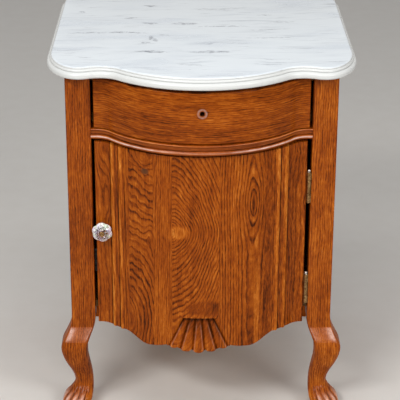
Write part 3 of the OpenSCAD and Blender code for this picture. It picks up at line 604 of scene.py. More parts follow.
def outline_normals(line):
    """Outward normals of an open line that runs anticlockwise, seen from above."""
    after = np.diff(line, axis=0, append=2 * line[-1:] - line[-2:-1])
    before = np.diff(line, axis=0, prepend=2 * line[:1] - line[1:2])
    after /= np.linalg.norm(after, axis=1)[:, None]
    before /= np.linalg.norm(before, axis=1)[:, None]
    tangent = after + before
    tangent /= np.linalg.norm(tangent, axis=1)[:, None]
    return np.stack([tangent[:, 1], -tangent[:, 0]], 1)


def marble_profile():
    """Distance taken in and height of the moulded edge, from the underside to the face."""
    foot = arc((FOOT_RADIUS, FOOT_RADIUS), FOOT_RADIUS, 270, 180, 10)
    nose = arc(NOSE_RADII, NOSE_RADII, 180, 112, 14)
    quirk = np.array([[6.6, 12.4], [6.6, 12.9], [5.6, 13.1]])
    hollow = arc((8.8, 13.4), (3.6, 3.8), 180, 108, 10)
    step = np.array([[8.5, 17.4], [8.5, 17.8], [7.9, 17.9]])
    round_top = arc((11.6, 18.2), (4.0, 2.8), 184, 90, 12)
    return np.concatenate([foot, nose, quirk, hollow, step, round_top])


# darker marks on the slab: middle in X and Y, half length, half thickness, rise to the right, strength
MARKS = (
    (-99, 368, 13, 6, -0.25, 0.7), (-133, 282, 12, 4, 0.1, 0.7), (-96, 247, 14, 6, -0.15, 0.7),
    (-30, 243, 22, 6, -0.1, 0.8), (-190, 182, 52, 3.2, 0.05, 0.55), (-132, 184, 30, 3.6, -0.12, 0.8),
    (-92, 150, 4, 13, 0.3, 0.8), (-84, 136, 5, 9, -0.6, 0.7), (-70, 168, 14, 3, -0.1, 0.5),
    (-100, 120, 9, 4, 0.2, 0.7), (-90, 64, 27, 6, -0.1, 0.85),
    (14, 62, 36, 6, 0.05, 0.65), (126, 204, 36, 4, 0.1, 0.45), (122, 304, 14, 4, 0.0, 0.6),
    (40, 225, 48, 3, 0.06, 0.6), (22, 343, 34, 8, -0.1, 0.35), (-229, 324, 6, 5, 0.0, 0.6),
    (130, 152, 50, 3, 0.07, 0.4), (152, 256, 26, 5, 0.05, 0.4), (-18, -14, 26, 5, -0.2, 0.3))


def marble_material():
    graph = Graph("marble_white", Roughness=0.24, Specular_IOR_Level=0.4)
    depth = graph.y - CASE_FRONT / MM

    def drift(wide, deep, seed, **options):
        at = graph.vector(graph.x / wide + seed, depth / deep + seed, graph.z / deep)
        return graph.noise(at, **options)

    bend = (drift(110, 70, 3.1) - 0.5) * 40
    ripple = (drift(15, 14, 8.4, detail=3.0, rough=0.65) - 0.5) * 17
    level = depth + bend + ripple * 0.5 - graph.x * 0.05

    def bands(long, pitch, seed, low, high):
        at = graph.vector(graph.x / long + seed, level / pitch + seed, graph.z / 60)
        return graph.noise(at, detail=3.0, rough=0.6).ramp(low, high)

    haze = bands(170, 44, 1.7, 0.40, 0.75)
    streak = bands(120, 10, 5.2, 0.52, 0.78)
    fine = bands(70, 3.8, 9.6, 0.56, 0.72) * drift(70, 40, 6.6, detail=1.0).ramp(0.42, 0.66)
    grain = drift(2.2, 2.2, 0.7)
    white, dark = srgb(223, 229, 233), srgb(100, 104, 118)
    colour = graph.mix(haze * 0.8, white, srgb(206, 213, 220))
    colour = graph.mix(streak * 0.6, colour, srgb(184, 191, 199))
    colour = graph.mix(fine * 0.6, colour, dark)
    wavy = depth + ripple
    crumbs = drift(10, 2.6, 4.9, detail=3.0, rough=0.7).ramp(0.38, 0.58)
    for at_x, at_y, long, thick, rise, strength in MARKS:
        slanted = wavy - graph.x * rise
        mark = spot(graph.x, slanted, at_x, at_y - at_x * rise, long, thick)
        colour = graph.mix((mark * crumbs).ramp(0.10, 0.6, 0.0, strength), colour, dark)
    colour = graph.mix((grain - 0.5).op("ABSOLUTE") * 0.3, colour, white)
    below = (graph.z - TOP_HIGH[2]).ramp(-2.6, -0.4, 1.0, 0.0)
    colour = graph.mix(below * 0.85, colour, srgb(209, 209, 205))
    graph.colour(colour)
    graph.rough(haze.ramp(0.0, 1.0, 0.2, 0.3))
    return graph.material


def make_marble():
    half = marble_line()
    front = np.concatenate([(half * [-1, 1])[:0:-1], half])
    normal = outline_normals(front)
    across = np.linspace(TOP_HIGH[0], -TOP_HIGH[0], BACK_POINTS + 2)[1:-1] / TOP_HIGH[0]
    thick = TOP_HIGH[2] - TOP_LOW[2]
    rings = []
    for taken, height in marble_profile():
        ring = front - normal * taken
        rear = TOP_HIGH[1] - float(eased(min(height, thick - height), ARRIS))
        ring[[0, -1], 1] = rear
        back = np.column_stack([across * (TOP_HIGH[0] - taken), np.full(len(across), rear)])
        ring = np.concatenate([ring, back])
        rings.append(np.column_stack([ring, np.full(len(ring), TOP_LOW[2] + height)]))
    points, faces = skin(rings)
    build("marble_slab", points, faces, "case", marble_material(), ["marble_top"])


# ---- bowed boards ----
def bow_samples(start, end, step=2.0):
    return np.linspace(start, end, int(round((end - start) / step)) + 1)


EASE_TURN = np.radians([0, 30, 60, 90])
EASE_IN = 1 - np.sin(EASE_TURN)
EASE_OFF = 1 - np.cos(EASE_TURN)


def eased_ends(start, end, ease):
    """Samples across a board and the distance that its face is taken in at each: round ends."""
    off, taken = ease * EASE_IN, ease * EASE_OFF
    inner = bow_samples(start + ease, end - ease)[1:-1]
    xs = np.concatenate([start + off[::-1], inner, end - off])
    drop = np.concatenate([taken[::-1], np.zeros(len(inner)), taken])
    return xs, drop


def bow_rings(bow, xs, drops, profile, back):
    """One closed ring across the board at each x: the face's profile, then the rear face."""
    y, nx, ny = bow.point(xs)
    rings = []
    for x, drop, yy, ax, ay, rear in zip(xs, drops, y, nx, ny, back):
        face = [(x - ax * (taken + drop), yy - ay * (taken + drop), z) for taken, z in profile]
        rings.append(face + [(x, rear, profile[-1][1]), (x, rear, profile[0][1])])
    return rings


def eased_profile(low, high, ease):
    inset, step = ease * EASE_IN, ease * EASE_OFF
    lower = [(i, low + s) for i, s in zip(inset, step)]
    upper = [(i, high - s) for i, s in zip(inset[::-1], step[::-1])]
    return lower + upper


HOLE_SIDES = 48


def bore(piece, radius, start, end, x, z):
    """Drill a hole along Y through a piece."""
    ring = circle((x, z), radius, HOLE_SIDES)
    points, faces = skin([[(a, y, b) for a, b in ring] for y in (start, end)])
    mesh = bpy.data.meshes.new("drill")
    mesh.from_pydata([tuple(p) for p in put(points)], [], [f[::-1] for f in faces])
    drill = add("drill", mesh)
    cut = piece.modifiers.new("hole", "BOOLEAN")
    cut.object = drill
    cut.solver = "EXACT"
    apply_modifiers(piece)
    bpy.data.objects.remove(drill)
    piece.data.set_sharp_from_angle(angle=math.radians(SHARP))


def apply_modifiers(piece):
    bpy.context.view_layer.update()
    depsgraph = bpy.context.evaluated_depsgraph_get()
    mesh = bpy.data.meshes.new_from_object(piece.evaluated_get(depsgraph))
    piece.modifiers.clear()
    piece.data = mesh


HOLE_X = 0.0
HOLE_Z = 616.0
HOLE_RADIUS = 4.0
DRAWER_EASE = 1.5
# painted shade on the drawer front's top face, which lies in the shadow under the marble
PAINTED_SHADE_UNDER_TOP = 0.2


def make_drawer_front():
    xs, drops = eased_ends(DRAWER_LOW[0], DRAWER_HIGH[0], DRAWER_EASE)
    back = DRAWER_BOW.behind(xs, BOARD_THICK, FRONT_SET + BOARD_THICK)
    profile = eased_profile(DRAWER_LOW[2], DRAWER_HIGH[2], DRAWER_EASE)
    points, faces = skin(bow_rings(DRAWER_BOW, xs, drops, profile, back))
    # the top face gets the painted shade of the marble's shadow
    on_top = points[:, 2] > DRAWER_HIGH[2] - 0.2 * DRAWER_EASE
    piece = build("drawer_face", points, faces, "drawer", DRAWER_OAK, ["drawer_front"],
                  painted_shading=PAINTED_SHADE_UNDER_TOP * on_top)
    bore(piece, HOLE_RADIUS, DRAWER_LOW[1] - 10, FRONT_SET + BOARD_THICK, HOLE_X, HOLE_Z)


FOOT_BEAD = 9.0
TOP_BEAD = 3.0
BEAD_EDGE = 1.5
BAND_DEPTH = 4.2


def rail_profile():
    """Points of the rail's face from its foot up: distance taken in, height, painted shade (painted
    light below zero) and painted highlight.
    """
    low, high = RAIL_LOW[2], RAIL_HIGH[2]
    foot = arc((FOOT_BEAD * 0.42, low + FOOT_BEAD / 2), (FOOT_BEAD * 0.42, FOOT_BEAD / 2), 262, 112, 20)
    around = np.linspace(0, 1, len(foot))
    # painted shade under the beads and in the band's corners, painted light and highlights on the
    # beads' crowns
    foot_dark = np.interp(around, [0, 0.3, 0.5, 0.75, 0.92, 1], [0.5, 0.15, -0.1, -0.15, 0.15, 0.55])
    foot_sheen = np.interp(around, [0.46, 0.58, 0.68, 0.80], [0, 1, 1, 0])
    band_low = low + FOOT_BEAD + 0.3
    band_high = high - TOP_BEAD - 0.3
    band = [(BAND_DEPTH, band_low, 0.45, 0), (BAND_DEPTH, band_low + 1.6, 0.0, 0),
            (BAND_DEPTH - 0.3, band_high - 0.7, 0.0, 0), (BAND_DEPTH - 0.6, band_high, 0.5, 0)]
    bead = arc((BEAD_EDGE, high - TOP_BEAD / 2), (1.5, TOP_BEAD / 2), 230, 90, 12)
    around = np.linspace(0, 1, len(bead))
    bead_dark = np.interp(around, [0, 0.3, 0.6, 1], [0.4, -0.1, -0.3, 0.0])
    bead_sheen = np.interp(around, [0.35, 0.5, 0.65, 0.85], [0, 0.36, 0.36, 0])
    return np.concatenate([np.column_stack([foot, foot_dark, foot_sheen]), band,
                           np.column_stack([bead, bead_dark, bead_sheen])])


def make_rail():
    """The rail between drawer and door; the painted highlights on its beads grow stronger towards the
    posts.
    """
    xs = bow_samples(-POST_IN, POST_IN)
    profile = rail_profile()
    rings = bow_rings(RAIL_BOW, xs, np.zeros(len(xs)), profile[:, :2], np.full(len(xs), RAIL_DEEP))
    points, faces = skin(rings)
    painted_shading = np.tile(np.append(profile[:, 2], [0, 0]), len(xs))
    along = 0.34 + 0.5 * smooth_step(30, 110, np.abs(xs))
    painted_sheen = np.outer(along, np.append(profile[:, 3], [0, 0])).ravel()
    build("moulded_rail", points, faces, "case", RAIL_OAK, ["drawer_rail"], painted_shading=painted_shading,
          painted_sheen=painted_sheen)


# ---- door ----
FAN_X = -0.027 * BOW_END
FAN_HALF = 58.0
FAN_TOP_HALF = 26.0
FAN_HEIGHT = 72.0
FAN_DROP = 8.0
SKIRT_DROP = 17.5
LOBES = 5
LOBE_RADIUS = FAN_HALF / LOBES * 1.5
WAVE_LOW = 0.27
WAVE_END = 0.60
DOOR_CORNER = DOOR_LOW_POINT + SKIRT_DROP + FAN_DROP
REEDS = ((32.3, 6.5), (45.6, 5.0))
REED_PROUD = 1.5
REED_SHIFT = 8.0  # the right-hand reeds stand further in
QUIRKS = ((26.2, 1.5), (39.5, 0.8), (51.0, 1.3))
SEAT_RADIUS = 0.56 * KNOB_RADIUS + 0.3
CARVED = (2, 3, 4)
REEDED = (0, len(STAVES) - 1)
DOOR_EASE = 1.2
OUTER_EASE = 1.6
JOINT_EASE = 0.18
GROOVE = (4.6, 3.1)  # depth and half width
RIM_GROOVE = (5.6, 3.6)


def skirt_z(x):
    """Height of the door's lower edge."""
    side = np.sign(x - FAN_X)
    w = (np.abs(x - FAN_X) - FAN_HALF) / (BOW_END - side * FAN_X - FAN_HALF)
    w = np.maximum(w, 0)
    turn = np.clip((w - WAVE_LOW) / (WAVE_END - WAVE_LOW), 0, 1)
    drop = np.where(w > WAVE_LOW, (1 + np.cos(np.pi * turn)) / 2, 1 - 0.35 * (1 - w / WAVE_LOW) ** 2)
    wave = DOOR_CORNER - SKIRT_DROP * drop
    foot = np.full_like(wave, 1e9)
    for k in range(LOBES):
        share = 2 * (k + 0.5) / LOBES - 1
        off = x - (FAN_X + FAN_HALF * share)
        lift = DOOR_LOW_POINT + FAN_DROP * 1.5 * abs(share) ** 1.6 + LOBE_RADIUS
        inside = np.abs(off) < LOBE_RADIUS
        lobe = lift - np.sqrt(np.maximum(LOBE_RADIUS**2 - off**2, 0))
        foot = np.where(inside, np.minimum(foot, lobe), foot)
    return np.where(np.abs(x - FAN_X) < FAN_HALF * 0.995, np.minimum(foot, wave), wave)


def reed_relief(x):
    """How far the reeds and the quirks between them stand off the door's bow."""
    relief = np.zeros_like(x)
    for inset, radius in REEDS:
        centre = BOW_END - inset - REED_SHIFT * (x > 0)
        off = np.abs(x) - centre
        face = DOOR_BOW.point(centre)[0]
        crown = face - REED_PROUD + radius - np.sqrt(np.maximum(radius**2 - off**2, 0))
        rise = DOOR_BOW.point(x)[0] - crown
        relief = np.where(np.abs(off) < radius, np.maximum(relief, rise), relief)
    for quirk, depth in QUIRKS:
        off = np.abs(x) - (BOW_END - quirk - REED_SHIFT * (x > 0))
        relief -= depth * np.exp(-((off / 0.9) ** 2))
    return relief


def fan_place(x, z):
    """Share of the fan's height, place across it in petals, and a petal's width."""
    up = (z - DOOR_LOW_POINT) / FAN_HEIGHT
    half = FAN_HALF + (FAN_TOP_HALF - FAN_HALF) * up
    return up, ((x - FAN_X) / half + 1) / 2 * LOBES, half * 2 / LOBES


def fan_relief(x, z):
    """Five petals between tapering grooves, sunk below the face at the fan's top."""
    up, u, pitch = fan_place(x, z)
    relief = np.zeros_like(x)
    for k in range(LOBES + 1):
        depth, wide = RIM_GROOVE if k in (0, LOBES) else GROOVE
        off = np.abs(u - k) * pitch
        relief -= depth * np.exp(-np.abs(off / wide / (0.85 + 0.4 * up)) ** 1.4)
    inside = smooth_step(-0.1, 0.15, u) * (1 - smooth_step(LOBES - 0.15, LOBES + 0.1, u))
    across = 2 * (u - np.floor(u)) - 1
    petal = -0.9 * across**2 - 2.6 * smooth_step(0.2, 0.95, up) - 1.6 * smooth_step(0.10, 0.0, up)
    relief += petal * inside
    return relief * (1 - smooth_step(0.965, 0.995, up))


def fan_marks(x, z):
    """Painted shade on the fan towards its sunk top and in the step's shadow along its top, and painted
    highlights on the outer edges of its petals.
    """
    up, u, pitch = fan_place(x, z)
    inside = (u > 0) & (u < LOBES) & (up < 0.97)
    # painted shade towards the sunk top, and the step's painted shadow near the top
    dark = inside * (0.46 * smooth_step(0.15, 0.8, up) - 0.02)
    ragged = up + 0.015 * np.sin(x * 0.9) + 0.012 * np.sin(x * 0.37)
    near_top = smooth_step(0.85, 0.92, ragged) * (1 - smooth_step(0.95, 1.0, ragged))
    dark += 0.3 * (np.abs(x - FAN_X) < FAN_TOP_HALF * 1.12) * near_top
    # painted highlights on the petals' outer edges
    to_edge = (1 - (np.abs(u - LOBES / 2) + 0.5) % 1) * pitch
    sheen = 0.36 * np.exp(-(((to_edge - 3.0) / 0.8) ** 2)) * inside * (1 - smooth_step(0.7, 0.9, up))
    return dark, sheen


def stave_columns(k):
    low, high = STAVES[k][0][0], STAVES[k][1][0]
    step = 0.6 if k in REEDED else 1.0
    inner = bow_samples(low + 0.8, high - 0.8, step)
    outer = np.array([0.0, 0.1, 0.3])
    return np.concatenate([low + outer, inner, high - outer[::-1]])


def stave_rows(k):
    """Heights of the close rows above a stave's foot."""
    fine = np.arange(0, 84, 0.9) if k in CARVED else np.arange(0, 6, 0.5)
    ease = np.array([0.0, 0.1, 0.3])
    return np.concatenate([ease, fine[1:] + 0.3])


def painted_shading_of(relief, step):
    """Painted shade in hollows and painted light on ridges, from the relief's height over its own blur.
    """
    soft = relief.copy()
    for _ in range(10):
        soft[:, 1:-1] = (soft[:, :-2] + 2 * soft[:, 1:-1] + soft[:, 2:]) / 4
    return np.clip((soft - relief) * step, -0.35, 1.0)


def stave_grid(k):
    """X, height and foot of a stave's face points, in rows from the door's lower edge up."""
    xs = stave_columns(k)
    foot = skirt_z(xs)
    rise = stave_rows(k)
    plain = DOOR_HIGH - DOOR_EASE - foot - rise[-1]
    rows = [foot + r for r in rise]
    rows += [foot + rise[-1] + plain * share for share in np.linspace(0, 1, 60)[1:]]
    rows += [np.full_like(foot, DOOR_HIGH - d) for d in (0.7, 0.3, 0.1, 0.0)]
    z = np.array(rows)
    return np.tile(xs, (len(z), 1)), z, foot


def stave_face(k, x, z, foot):
    """Y of a stave's face points, with their painted shade and painted highlights."""
    relief = reed_relief(x)
    if k in CARVED:
        relief = relief + fan_relief(x, z)
    face = DOOR_BOW.point(x)[0] - relief
    painted_shading = painted_shading_of(relief, 0.5 if k in REEDED else 0.26)
    sheen = np.zeros_like(painted_shading)
    # painted light on the reeds where they stand proud
    if k in REEDED:
        painted_shading -= 0.16 * smooth_step(0.0, 0.9, relief)
    if k in CARVED:
        dark, sheen = fan_marks(x, z)
        painted_shading += dark
    face = face + eased(DOOR_HIGH - z, DOOR_EASE) + eased(z - foot, DOOR_EASE)
    left = OUTER_EASE if k == REEDED[0] else JOINT_EASE
    right = OUTER_EASE if k == REEDED[1] else JOINT_EASE
    face = face + eased(x - STAVES[k][0][0], left) + eased(STAVES[k][1][0] - x, right)
    if k == 0:
        seat = np.hypot(x - KNOB_MIDDLE[0], z - KNOB_MIDDLE[2]) < SEAT_RADIUS
        face = np.where(seat, np.maximum(face, FRONT_SET), face)
    return face, painted_shading, sheen


def quads(index):
    a, b, c, d = index[:-1, :-1], index[:-1, 1:], index[1:, 1:], index[1:, :-1]
    return [tuple(q) for q in np.stack([a, b, c, d], 2).reshape(-1, 4).tolist()]


def sheet_pair(shape):
    """Faces over a grid of front points, the grid behind it, and the rim between them."""
    count = shape[0] * shape[1]
    index = np.arange(count).reshape(shape)
    faces = quads(index) + [q[::-1] for q in quads(index + count)]
    rim = np.concatenate([index[0, :-1], index[:-1, -1], index[-1, :0:-1], index[:0:-1, 0]])
    after = np.roll(rim, -1)
    return faces + [(a + count, b + count, b, a) for a, b in zip(rim, after)]


def make_stave(k):
    x, z, foot = stave_grid(k)
    face, painted_shading, sheen = stave_face(k, x, z, foot)
    back = np.tile(DOOR_BOW.behind(x[0], BOARD_THICK, FRONT_SET + BOARD_THICK), (len(z), 1))
    points = np.concatenate([np.stack([x, y, z], 2).reshape(-1, 3) for y in (face, back)])
    painted_shading, sheen = (np.append(values.ravel(), np.zeros(z.size)) for values in (painted_shading, sheen))
    build(f"stave_{k + 1}", points, sheet_pair(z.shape), "door", oak(STAVE_BOARDS[k]),
          [f"door_stave_{k + 1}"], sharp=38, painted_shading=painted_shading, painted_sheen=sheen)


# ---- legs ----
KNEE_TOP = 190.0
KNEE_REACH = 20.0
FOOT_REACH = 22.0
# share of the knee's height, distance out, distance in, corner radius, from the knee's top to the sole
LEG_STATIONS = np.array([
    [1.00, 0, 0, 1.5], [0.93, 0.08 * KNEE_REACH, 1, 2.5], [0.87, 0.23 * KNEE_REACH, 4, 3.6],
    [0.80, 0.57 * KNEE_REACH, 9.7, 5], [0.73, 0.95 * KNEE_REACH, 14.5, 7], [0.66, KNEE_REACH, 16, 9],
    [0.57, 0.84 * KNEE_REACH, 15.7, 11.6], [0.48, 0.55 * KNEE_REACH, 13, 13.2],
    [0.39, 0.19 * KNEE_REACH, 10, 14], [0.31, -0.04 * FOOT_REACH, 8.2, 15],
    [0.24, -0.05 * FOOT_REACH, 7.5, 17], [0.17, 0.36 * FOOT_REACH, 7.6, 18.6],
    [0.11, 0.86 * FOOT_REACH, 9, 20], [0.05, FOOT_REACH, 12, 22], [0, 0.93 * FOOT_REACH, 13, 22]])[::-1]
TOES = 5
TOE_DEPTH = 5.4
# the knee's flat front: a painted highlight all over it, more of it at its corners, and the places
# across it that have points of their own, each with its share of the corners' painted highlight
FLAT_SHEEN = 0.14
CORNER_SHEEN = 0.55
FLAT_PLACES = np.array([(0.10, 0.9), (0.2, 0.45), (0.32, 0.1), (0.6, 0.0), (0.97, 0.3)])
CORNER_POINTS = 26


def leg_value(u, column):
    """Smooth value between the stations, by Hermite arcs."""
    s, v = LEG_STATIONS[:, 0], LEG_STATIONS[:, column]
    slope = np.gradient(v, s)
    slope[1:-1] = (v[2:] - v[:-2]) / (s[2:] - s[:-2])
    i = int(np.clip(np.searchsorted(s, u) - 1, 0, len(s) - 2))
    w = s[i + 1] - s[i]
    t = (u - s[i]) / w
    return ((2 * t**3 - 3 * t**2 + 1) * v[i] + (t**3 - 2 * t**2 + t) * w * slope[i]
            + (3 * t**2 - 2 * t**3) * v[i + 1] + (t**3 - t**2) * w * slope[i + 1])


def toe_cut(u, angle):
    """Depth of the toes' grooves at an angle round the foot, measured from its inner front."""
    reach = 1 - smooth_step(0.09, 0.25, u)
    spread = (angle - 45) / 144
    place = TOES * (spread + 0.5)
    across = 2 * (place - np.floor(place)) - 1
    crown = 1 - np.sqrt(np.maximum(1 - np.abs(across) ** 2.2, 0))
    return np.where(np.abs(spread) < 0.5, TOE_DEPTH * reach * crown, 0)


def leg_ring(z):
    """Ring of the left leg at a height, with the painted shade and the painted highlight of each point.
    """
    u = min(z / KNEE_TOP, 1.0)
    out, inn, r = (float(leg_value(u, c)) for c in (1, 2, 3))
    plane = KNEE_REACH * np.interp(u, [0.750, 0.885], [0.93, 0.0])
    share = smooth_step(0.70, 0.76, u) * (1 - smooth_step(0.955, 0.985, u))
    front = out + (plane - out) * share
    low, high = np.array([-out, -front]), POST_SIZE - inn
    mid = (low + high) / 2
    ring, shine = [], []
    # painted highlight on the knee's flat front, the varnish's reflection of the room's light
    knee = smooth_step(0.750, 0.79, u) * (1 - smooth_step(0.865, 0.885, u))
    for corner in range(4):
        turn = 90 * corner + np.linspace(0, 90, CORNER_POINTS)
        a = np.radians(turn)
        level = FLAT_SHEEN * smooth_step(50, 85, turn) * (1 - smooth_step(95, 130, turn))
        shine.append(knee * (level + CORNER_SHEEN * smooth_step(40, 80, turn) * (turn <= 90)))
        cx = low[0] + r if corner in (0, 3) else high - r
        cy = low[1] + r if corner < 2 else high - r
        ring.append(np.stack([cx - r * np.cos(a), cy - r * np.sin(a)], 1))
        if corner == 0:
            place, share = FLAT_PLACES.T
            ring.append(np.column_stack([cx + (high - r - cx) * place, np.full(len(place), cy - r)]))
            shine.append(knee * (FLAT_SHEEN + CORNER_SHEEN * share))
    ring, shine = np.concatenate(ring), np.concatenate(shine)
    off = ring - mid
    away = np.linalg.norm(off, axis=1)
    angle = np.degrees(np.arctan2(-off[:, 1], -off[:, 0]))
    cut = toe_cut(u, angle)
    ring = mid + off * ((away - cut) / away)[:, None]
    # painted shade in the toes' grooves, painted light on the lowest part of the foot
    dark = np.clip(cut / TOE_DEPTH * 1.5 - 0.45 * (1 - smooth_step(0.08, 0.2, u)), -0.3, 0.9)
    # painted highlights on the toes' ridges
    toes = (1 - smooth_step(0.11, 0.19, u)) * (np.abs(angle - 45) < 72)
    shine += toes * (0.15 + 0.6 * np.clip(1 - cut / TOE_DEPTH * 5, 0, 1) ** 1.5)
    return np.column_stack([ring, np.full(len(ring), z)]), dark, shine


def make_leg(side, name):
    levels = np.concatenate([np.linspace(0, 70, 48), np.linspace(70, KNEE_TOP, 50)[1:],
                             np.linspace(KNEE_TOP, LEG_HIGH[2], 12)[1:]])
    rings, dark, shine = zip(*(leg_ring(z) for z in levels))
    points, faces = skin(rings)
    points = points + [-POST_OUT, 0, 0]
    if side > 0:
        points = points * [-1, 1, 1]
    else:
        faces = [f[::-1] for f in faces]
    build(f"leg_{name}", points, faces, "case", POST_OAKS[side], [f"front_leg_{name}"],
          sharp=24, painted_shading=np.concatenate(dark), painted_sheen=np.concatenate(shine))


# ---- knob ----
PETALS = 6
PETAL_TURN = math.radians(39)
PETAL_CUT = 0.10


def knob_glass_material():
    """Clear glass, whiter towards the rim as a painted reflection of the room's light, with painted
    lilac and green tints of split light and a painted pink of the wood behind in its middle.
    """
    graph = Graph("clear_glass", Roughness=0.02, IOR=1.5, Coat_Weight=1.0, Coat_Roughness=0.04)
    off_x = graph.x - KNOB_MIDDLE[0]
    off_z = graph.z - KNOB_MIDDLE[2]
    off = (off_x * off_x + off_z * off_z).root() / KNOB_RADIUS
    hue = graph.speckle(0.13, detail=1.0)
    fleck = graph.speckle(0.34)
    # painted lilac and green tints, the light split by the glass
    colour = graph.tones(hue, ((0.34, srgb(232, 214, 246)), (0.44, srgb(254, 253, 254)),
                               (0.54, srgb(255, 254, 252)), (0.64, srgb(226, 246, 220))))
    # painted pink in the middle, the wood seen through the glass
    colour = graph.mix(off.ramp(0.30, 0.52, 1.0, 0.0) * 0.7, colour, srgb(240, 196, 186))
    graph.colour(graph.mix(fleck.ramp(0.52, 0.62, 0.0, 0.4), colour, srgb(214, 184, 172)))
    # less clear towards the rim, so it shows whiter there: a painted reflection of the room's light
    clear = off.ramp(0.50, 0.86, 0.8, 0.25) + fleck.ramp(0.42, 0.60, -0.15, 0.25)
    graph.join(clear, graph.shader.inputs["Transmission Weight"])
    return graph.material


def make_knob():
    long = FRONT_SET - KNOB_LOW[1]
    # share of the radius, share of the length, depth of the cuts between the petals
    profile = np.array([
        (0.13, 0.0, 0), (0.56, 0.0, 0), (0.55, 0.035, 0), (0.50, 0.09, 0), (0.42, 0.19, 0),
        (0.42, 0.32, 0.1), (0.52, 0.40, 0.3), (0.74, 0.47, 0.7), (0.92, 0.55, 1), (0.99, 0.61, 1),
        (1.00, 0.66, 1), (0.96, 0.71, 1), (0.86, 0.78, 1.2), (0.72, 0.85, 1.6), (0.58, 0.91, 1.2),
        (0.54, 0.90, 0.4), (0.44, 0.96, 0.15), (0.40, 1.0, 0), (0.35, 1.0, 0), (0.35, 0.93, 0),
        (0.13, 0.92, 0)])
    angles = np.linspace(0, 2 * np.pi, PETALS * 12, endpoint=False)
    across = ((angles - PETAL_TURN) * PETALS / (2 * np.pi) + 0.5) % 1 * 2 - 1
    rings = []
    for share, along, petal in profile:
        r = share * KNOB_RADIUS * (1 - PETAL_CUT * petal * np.abs(across) ** 2.2)
        rings.append(np.stack([KNOB_MIDDLE[0] + r * np.cos(angles),
                               np.full_like(r, FRONT_SET - along * long),
                               KNOB_MIDDLE[2] + r * np.sin(angles)], 1))
    points, faces = skin(rings, closed=True)
    build("knob_petals", points, faces, "door", knob_glass_material(), ["knob_glass"],
          sharp=8)


def metal(name, tone, dark, rough):
    """Tarnished metal: bright patches among dark ones."""
    graph = Graph(name, Metallic=1.0)
    spots = graph.speckle(0.22, detail=4.0, rough=0.65)
    fine = graph.speckle(1.6)
    wear = spots * 0.7 + fine * 0.3
    graph.colour(graph.mix(wear.ramp(0.36, 0.62), dark, tone))
    graph.rough(wear.ramp(0.3, 0.7, rough + 0.18, rough))
    graph.bump(fine, 0.00008)
    return graph.material


# ---- boards of this cupboard ----
STAVE_CUTS = (
    dict(pith=(-900, 90), lean=0.05, spacing=8.0, wave=4, tone=0.56, contrast=0.8,
         swells=((-168, 434, 7.5, 44, -16), (-178, 520, 12, 30, 12))),
    dict(pith=(-136, 60), cone=(205, 0.46, 900, 6, 0), spacing=6.4, wave=4.0, tone=0.53, contrast=1.05,
         swells=((-91, 384, 9, 26, -9), (-103, 524, 13, 15, 12)), knots=((-100, 500, 8.5),),
         calm=((-103, 523, 12, 12, 0.06),)),
    dict(pith=(900, 200), lean=0.02, spacing=3.4, wave=1.6, tone=0.59, contrast=0.65,
         calm=((FAN_X, 190, 72, 34, -0.04),)),
    dict(pith=(-62, 0), cone=(391, 0.8, 36, 16, 0.40), wave=2.6, tone=0.56, contrast=1.1,
         calm=((-41, 391, 23, 15, 0.17), (FAN_X, 190, 80, 34, -0.04), (6, 243, 40, 18, -0.26))),
    dict(pith=(91, 60), cone=(440, 0.26, 70, 3, 0), spacing=4.6, wave=1.6, tone=0.58, contrast=1.05,
         calm=((91, 440, 3, 22, -0.40), (100, 250, 7, 150, 0.07))),
    dict(pith=(900, 120), spacing=8.0, wave=6, tone=0.52, contrast=0.9, stroke=0.18,
         calm=((120, 350, 9, 700, -0.16), (134, 350, 4, 700, 0.05), (148, 350, 5, 700, 0.02))))
STAVE_BOARDS = [Board(f"oak_stave_{k}", k, bent=True, **cut) for k, cut in enumerate(STAVE_CUTS, 1)]
DRAWER_OAK = oak(Board("oak_drawer", 7, grain="x", pith=(-2400, 60), lean=0.01, spacing=3.8,
                       tone=0.53, stroke=0.14, seats=((HOLE_Z, HOLE_X, 9.8),), bent=True))
RAIL_OAK = oak(Board("oak_rail", 8, grain="x", pith=(-2400, 60), spacing=4.2, wave=2, tone=0.54,
                     contrast=0.4, stroke=0.08, bent=True, coat=0.3))
POST_OAKS = {
    -1: oak(Board("oak_post_left", 9, pith=(-1600, 300), spacing=4.0, wave=3.4, tone=0.52,
                  contrast=0.75, coat=0.2)),
    1: oak(Board("oak_post_right", 10, pith=(1700, 260), spacing=4.2, wave=3.4, tone=0.59,
                 contrast=0.7, coat=0.2)),
}
UPRIGHT = oak(Board("oak_back_leg", 11, pith=(900, 500), spacing=4.4, tone=0.50))
SIDE_PANEL = oak(Board("oak_side_panel", 12, grain="side", pith=(205, 0),
                       cone=(150, 0.16, 500, 10, 0), spacing=6.4, wave=6, tone=0.56, contrast=0.9,
                       bent=True))
SIDE_RAIL = oak(Board("oak_side_rail", 13, grain="y", pith=(-1200, 900), spacing=4.4))
BACK_RAIL = oak(Board("oak_back_rail", 14, grain="x", pith=(-1300, 300), spacing=4.4, tone=0.48))
BRASS = metal("aged_brass", srgb(174, 138, 92), srgb(98, 68, 38), 0.32)
TIP = metal("worn_tip", srgb(212, 208, 206), srgb(142, 130, 114), 0.26)
STEEL = metal("dull_steel", srgb(92, 90, 88), srgb(48, 45, 43), 0.42)

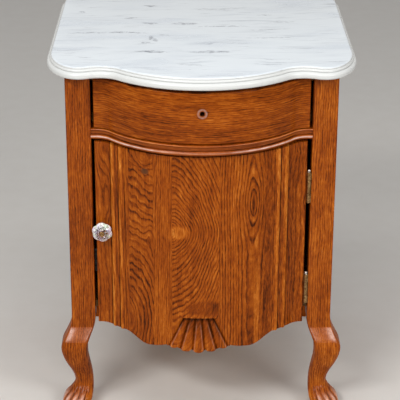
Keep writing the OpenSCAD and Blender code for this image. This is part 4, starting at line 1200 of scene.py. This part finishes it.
# nodes that keep their mesh, by the start of their name, each with the radius of its eased edges:
# pine with its grain first, then the others with their material
PINES = (
    ("back_panel", "z", 0.4), ("front_top_rail", "x", 0.6), ("runner", "y", 0.6),
    ("guide", "y", 0.6), ("kicker", "y", 0.6), ("bottom_board", "x", 0.8), ("cleat", "y", 0.6),
    ("drawer_side", "y", 0.8), ("drawer_back", "x", 0.8), ("drawer_bottom", "x", 0.4))
FINISH = [(start, pine(f"pine_{start}", grain, seed), ease)
          for seed, (start, grain, ease) in enumerate(PINES, 1)]
FINISH += [
    ("back_leg", UPRIGHT, 1.2), ("side_rail", SIDE_RAIL, 0.8), ("side_panel", SIDE_PANEL, 0.4),
    ("back_rail", BACK_RAIL, 0.8), ("catch_body", STEEL, 0.5), ("catch_strike", STEEL, 0.3),
    ("hinge_pin", TIP, 0.25), ("hinge", BRASS, 0.25), ("knob", BRASS, 0.25),
    ("catch_screws", BRASS, 0.1), ("strike_screws", BRASS, 0.1)]


def finish_nodes():
    """Give each node that stays its material and eased edges."""
    for name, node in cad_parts.items():
        if node.hide_render:
            continue
        material, ease = next((m, e) for start, m, e in FINISH if name.startswith(start))
        node.data.materials.clear()
        node.data.materials.append(material)
        weld = node.modifiers.new("weld", "WELD")
        weld.merge_threshold = 0.01 * MM
        bevel = node.modifiers.new("ease", "BEVEL")
        bevel.width = ease * MM
        bevel.segments = 2
        bevel.limit_method = "ANGLE"
        bevel.angle_limit = math.radians(40)
        bevel.harden_normals = True


bpy.context.scene.view_settings.view_transform = "Standard"
make_camera()
make_world()
make_floor()
make_lamp("key", (-1.5, -2.3, 2.5), (0, 0, 0.4), (1.4, 0.4), 51)
make_lamp("fill", (1.9, -2.2, 1.9), (0, 0, 0.35), (1.2, 0.45), 27)
make_lamp("front", (0, -3.0, 1.95), (0, 0, 0.3), (2.4, 0.45), 15)
make_lamp("overhead", (0, -0.85, 2.6), (0, 0, 0.4), (2.2, 0.5), 16)

make_marble()
make_drawer_front()
make_rail()
make_leg(-1, "left")
make_leg(1, "right")
for number in range(len(STAVES)):
    make_stave(number)
make_knob()

finish_nodes()
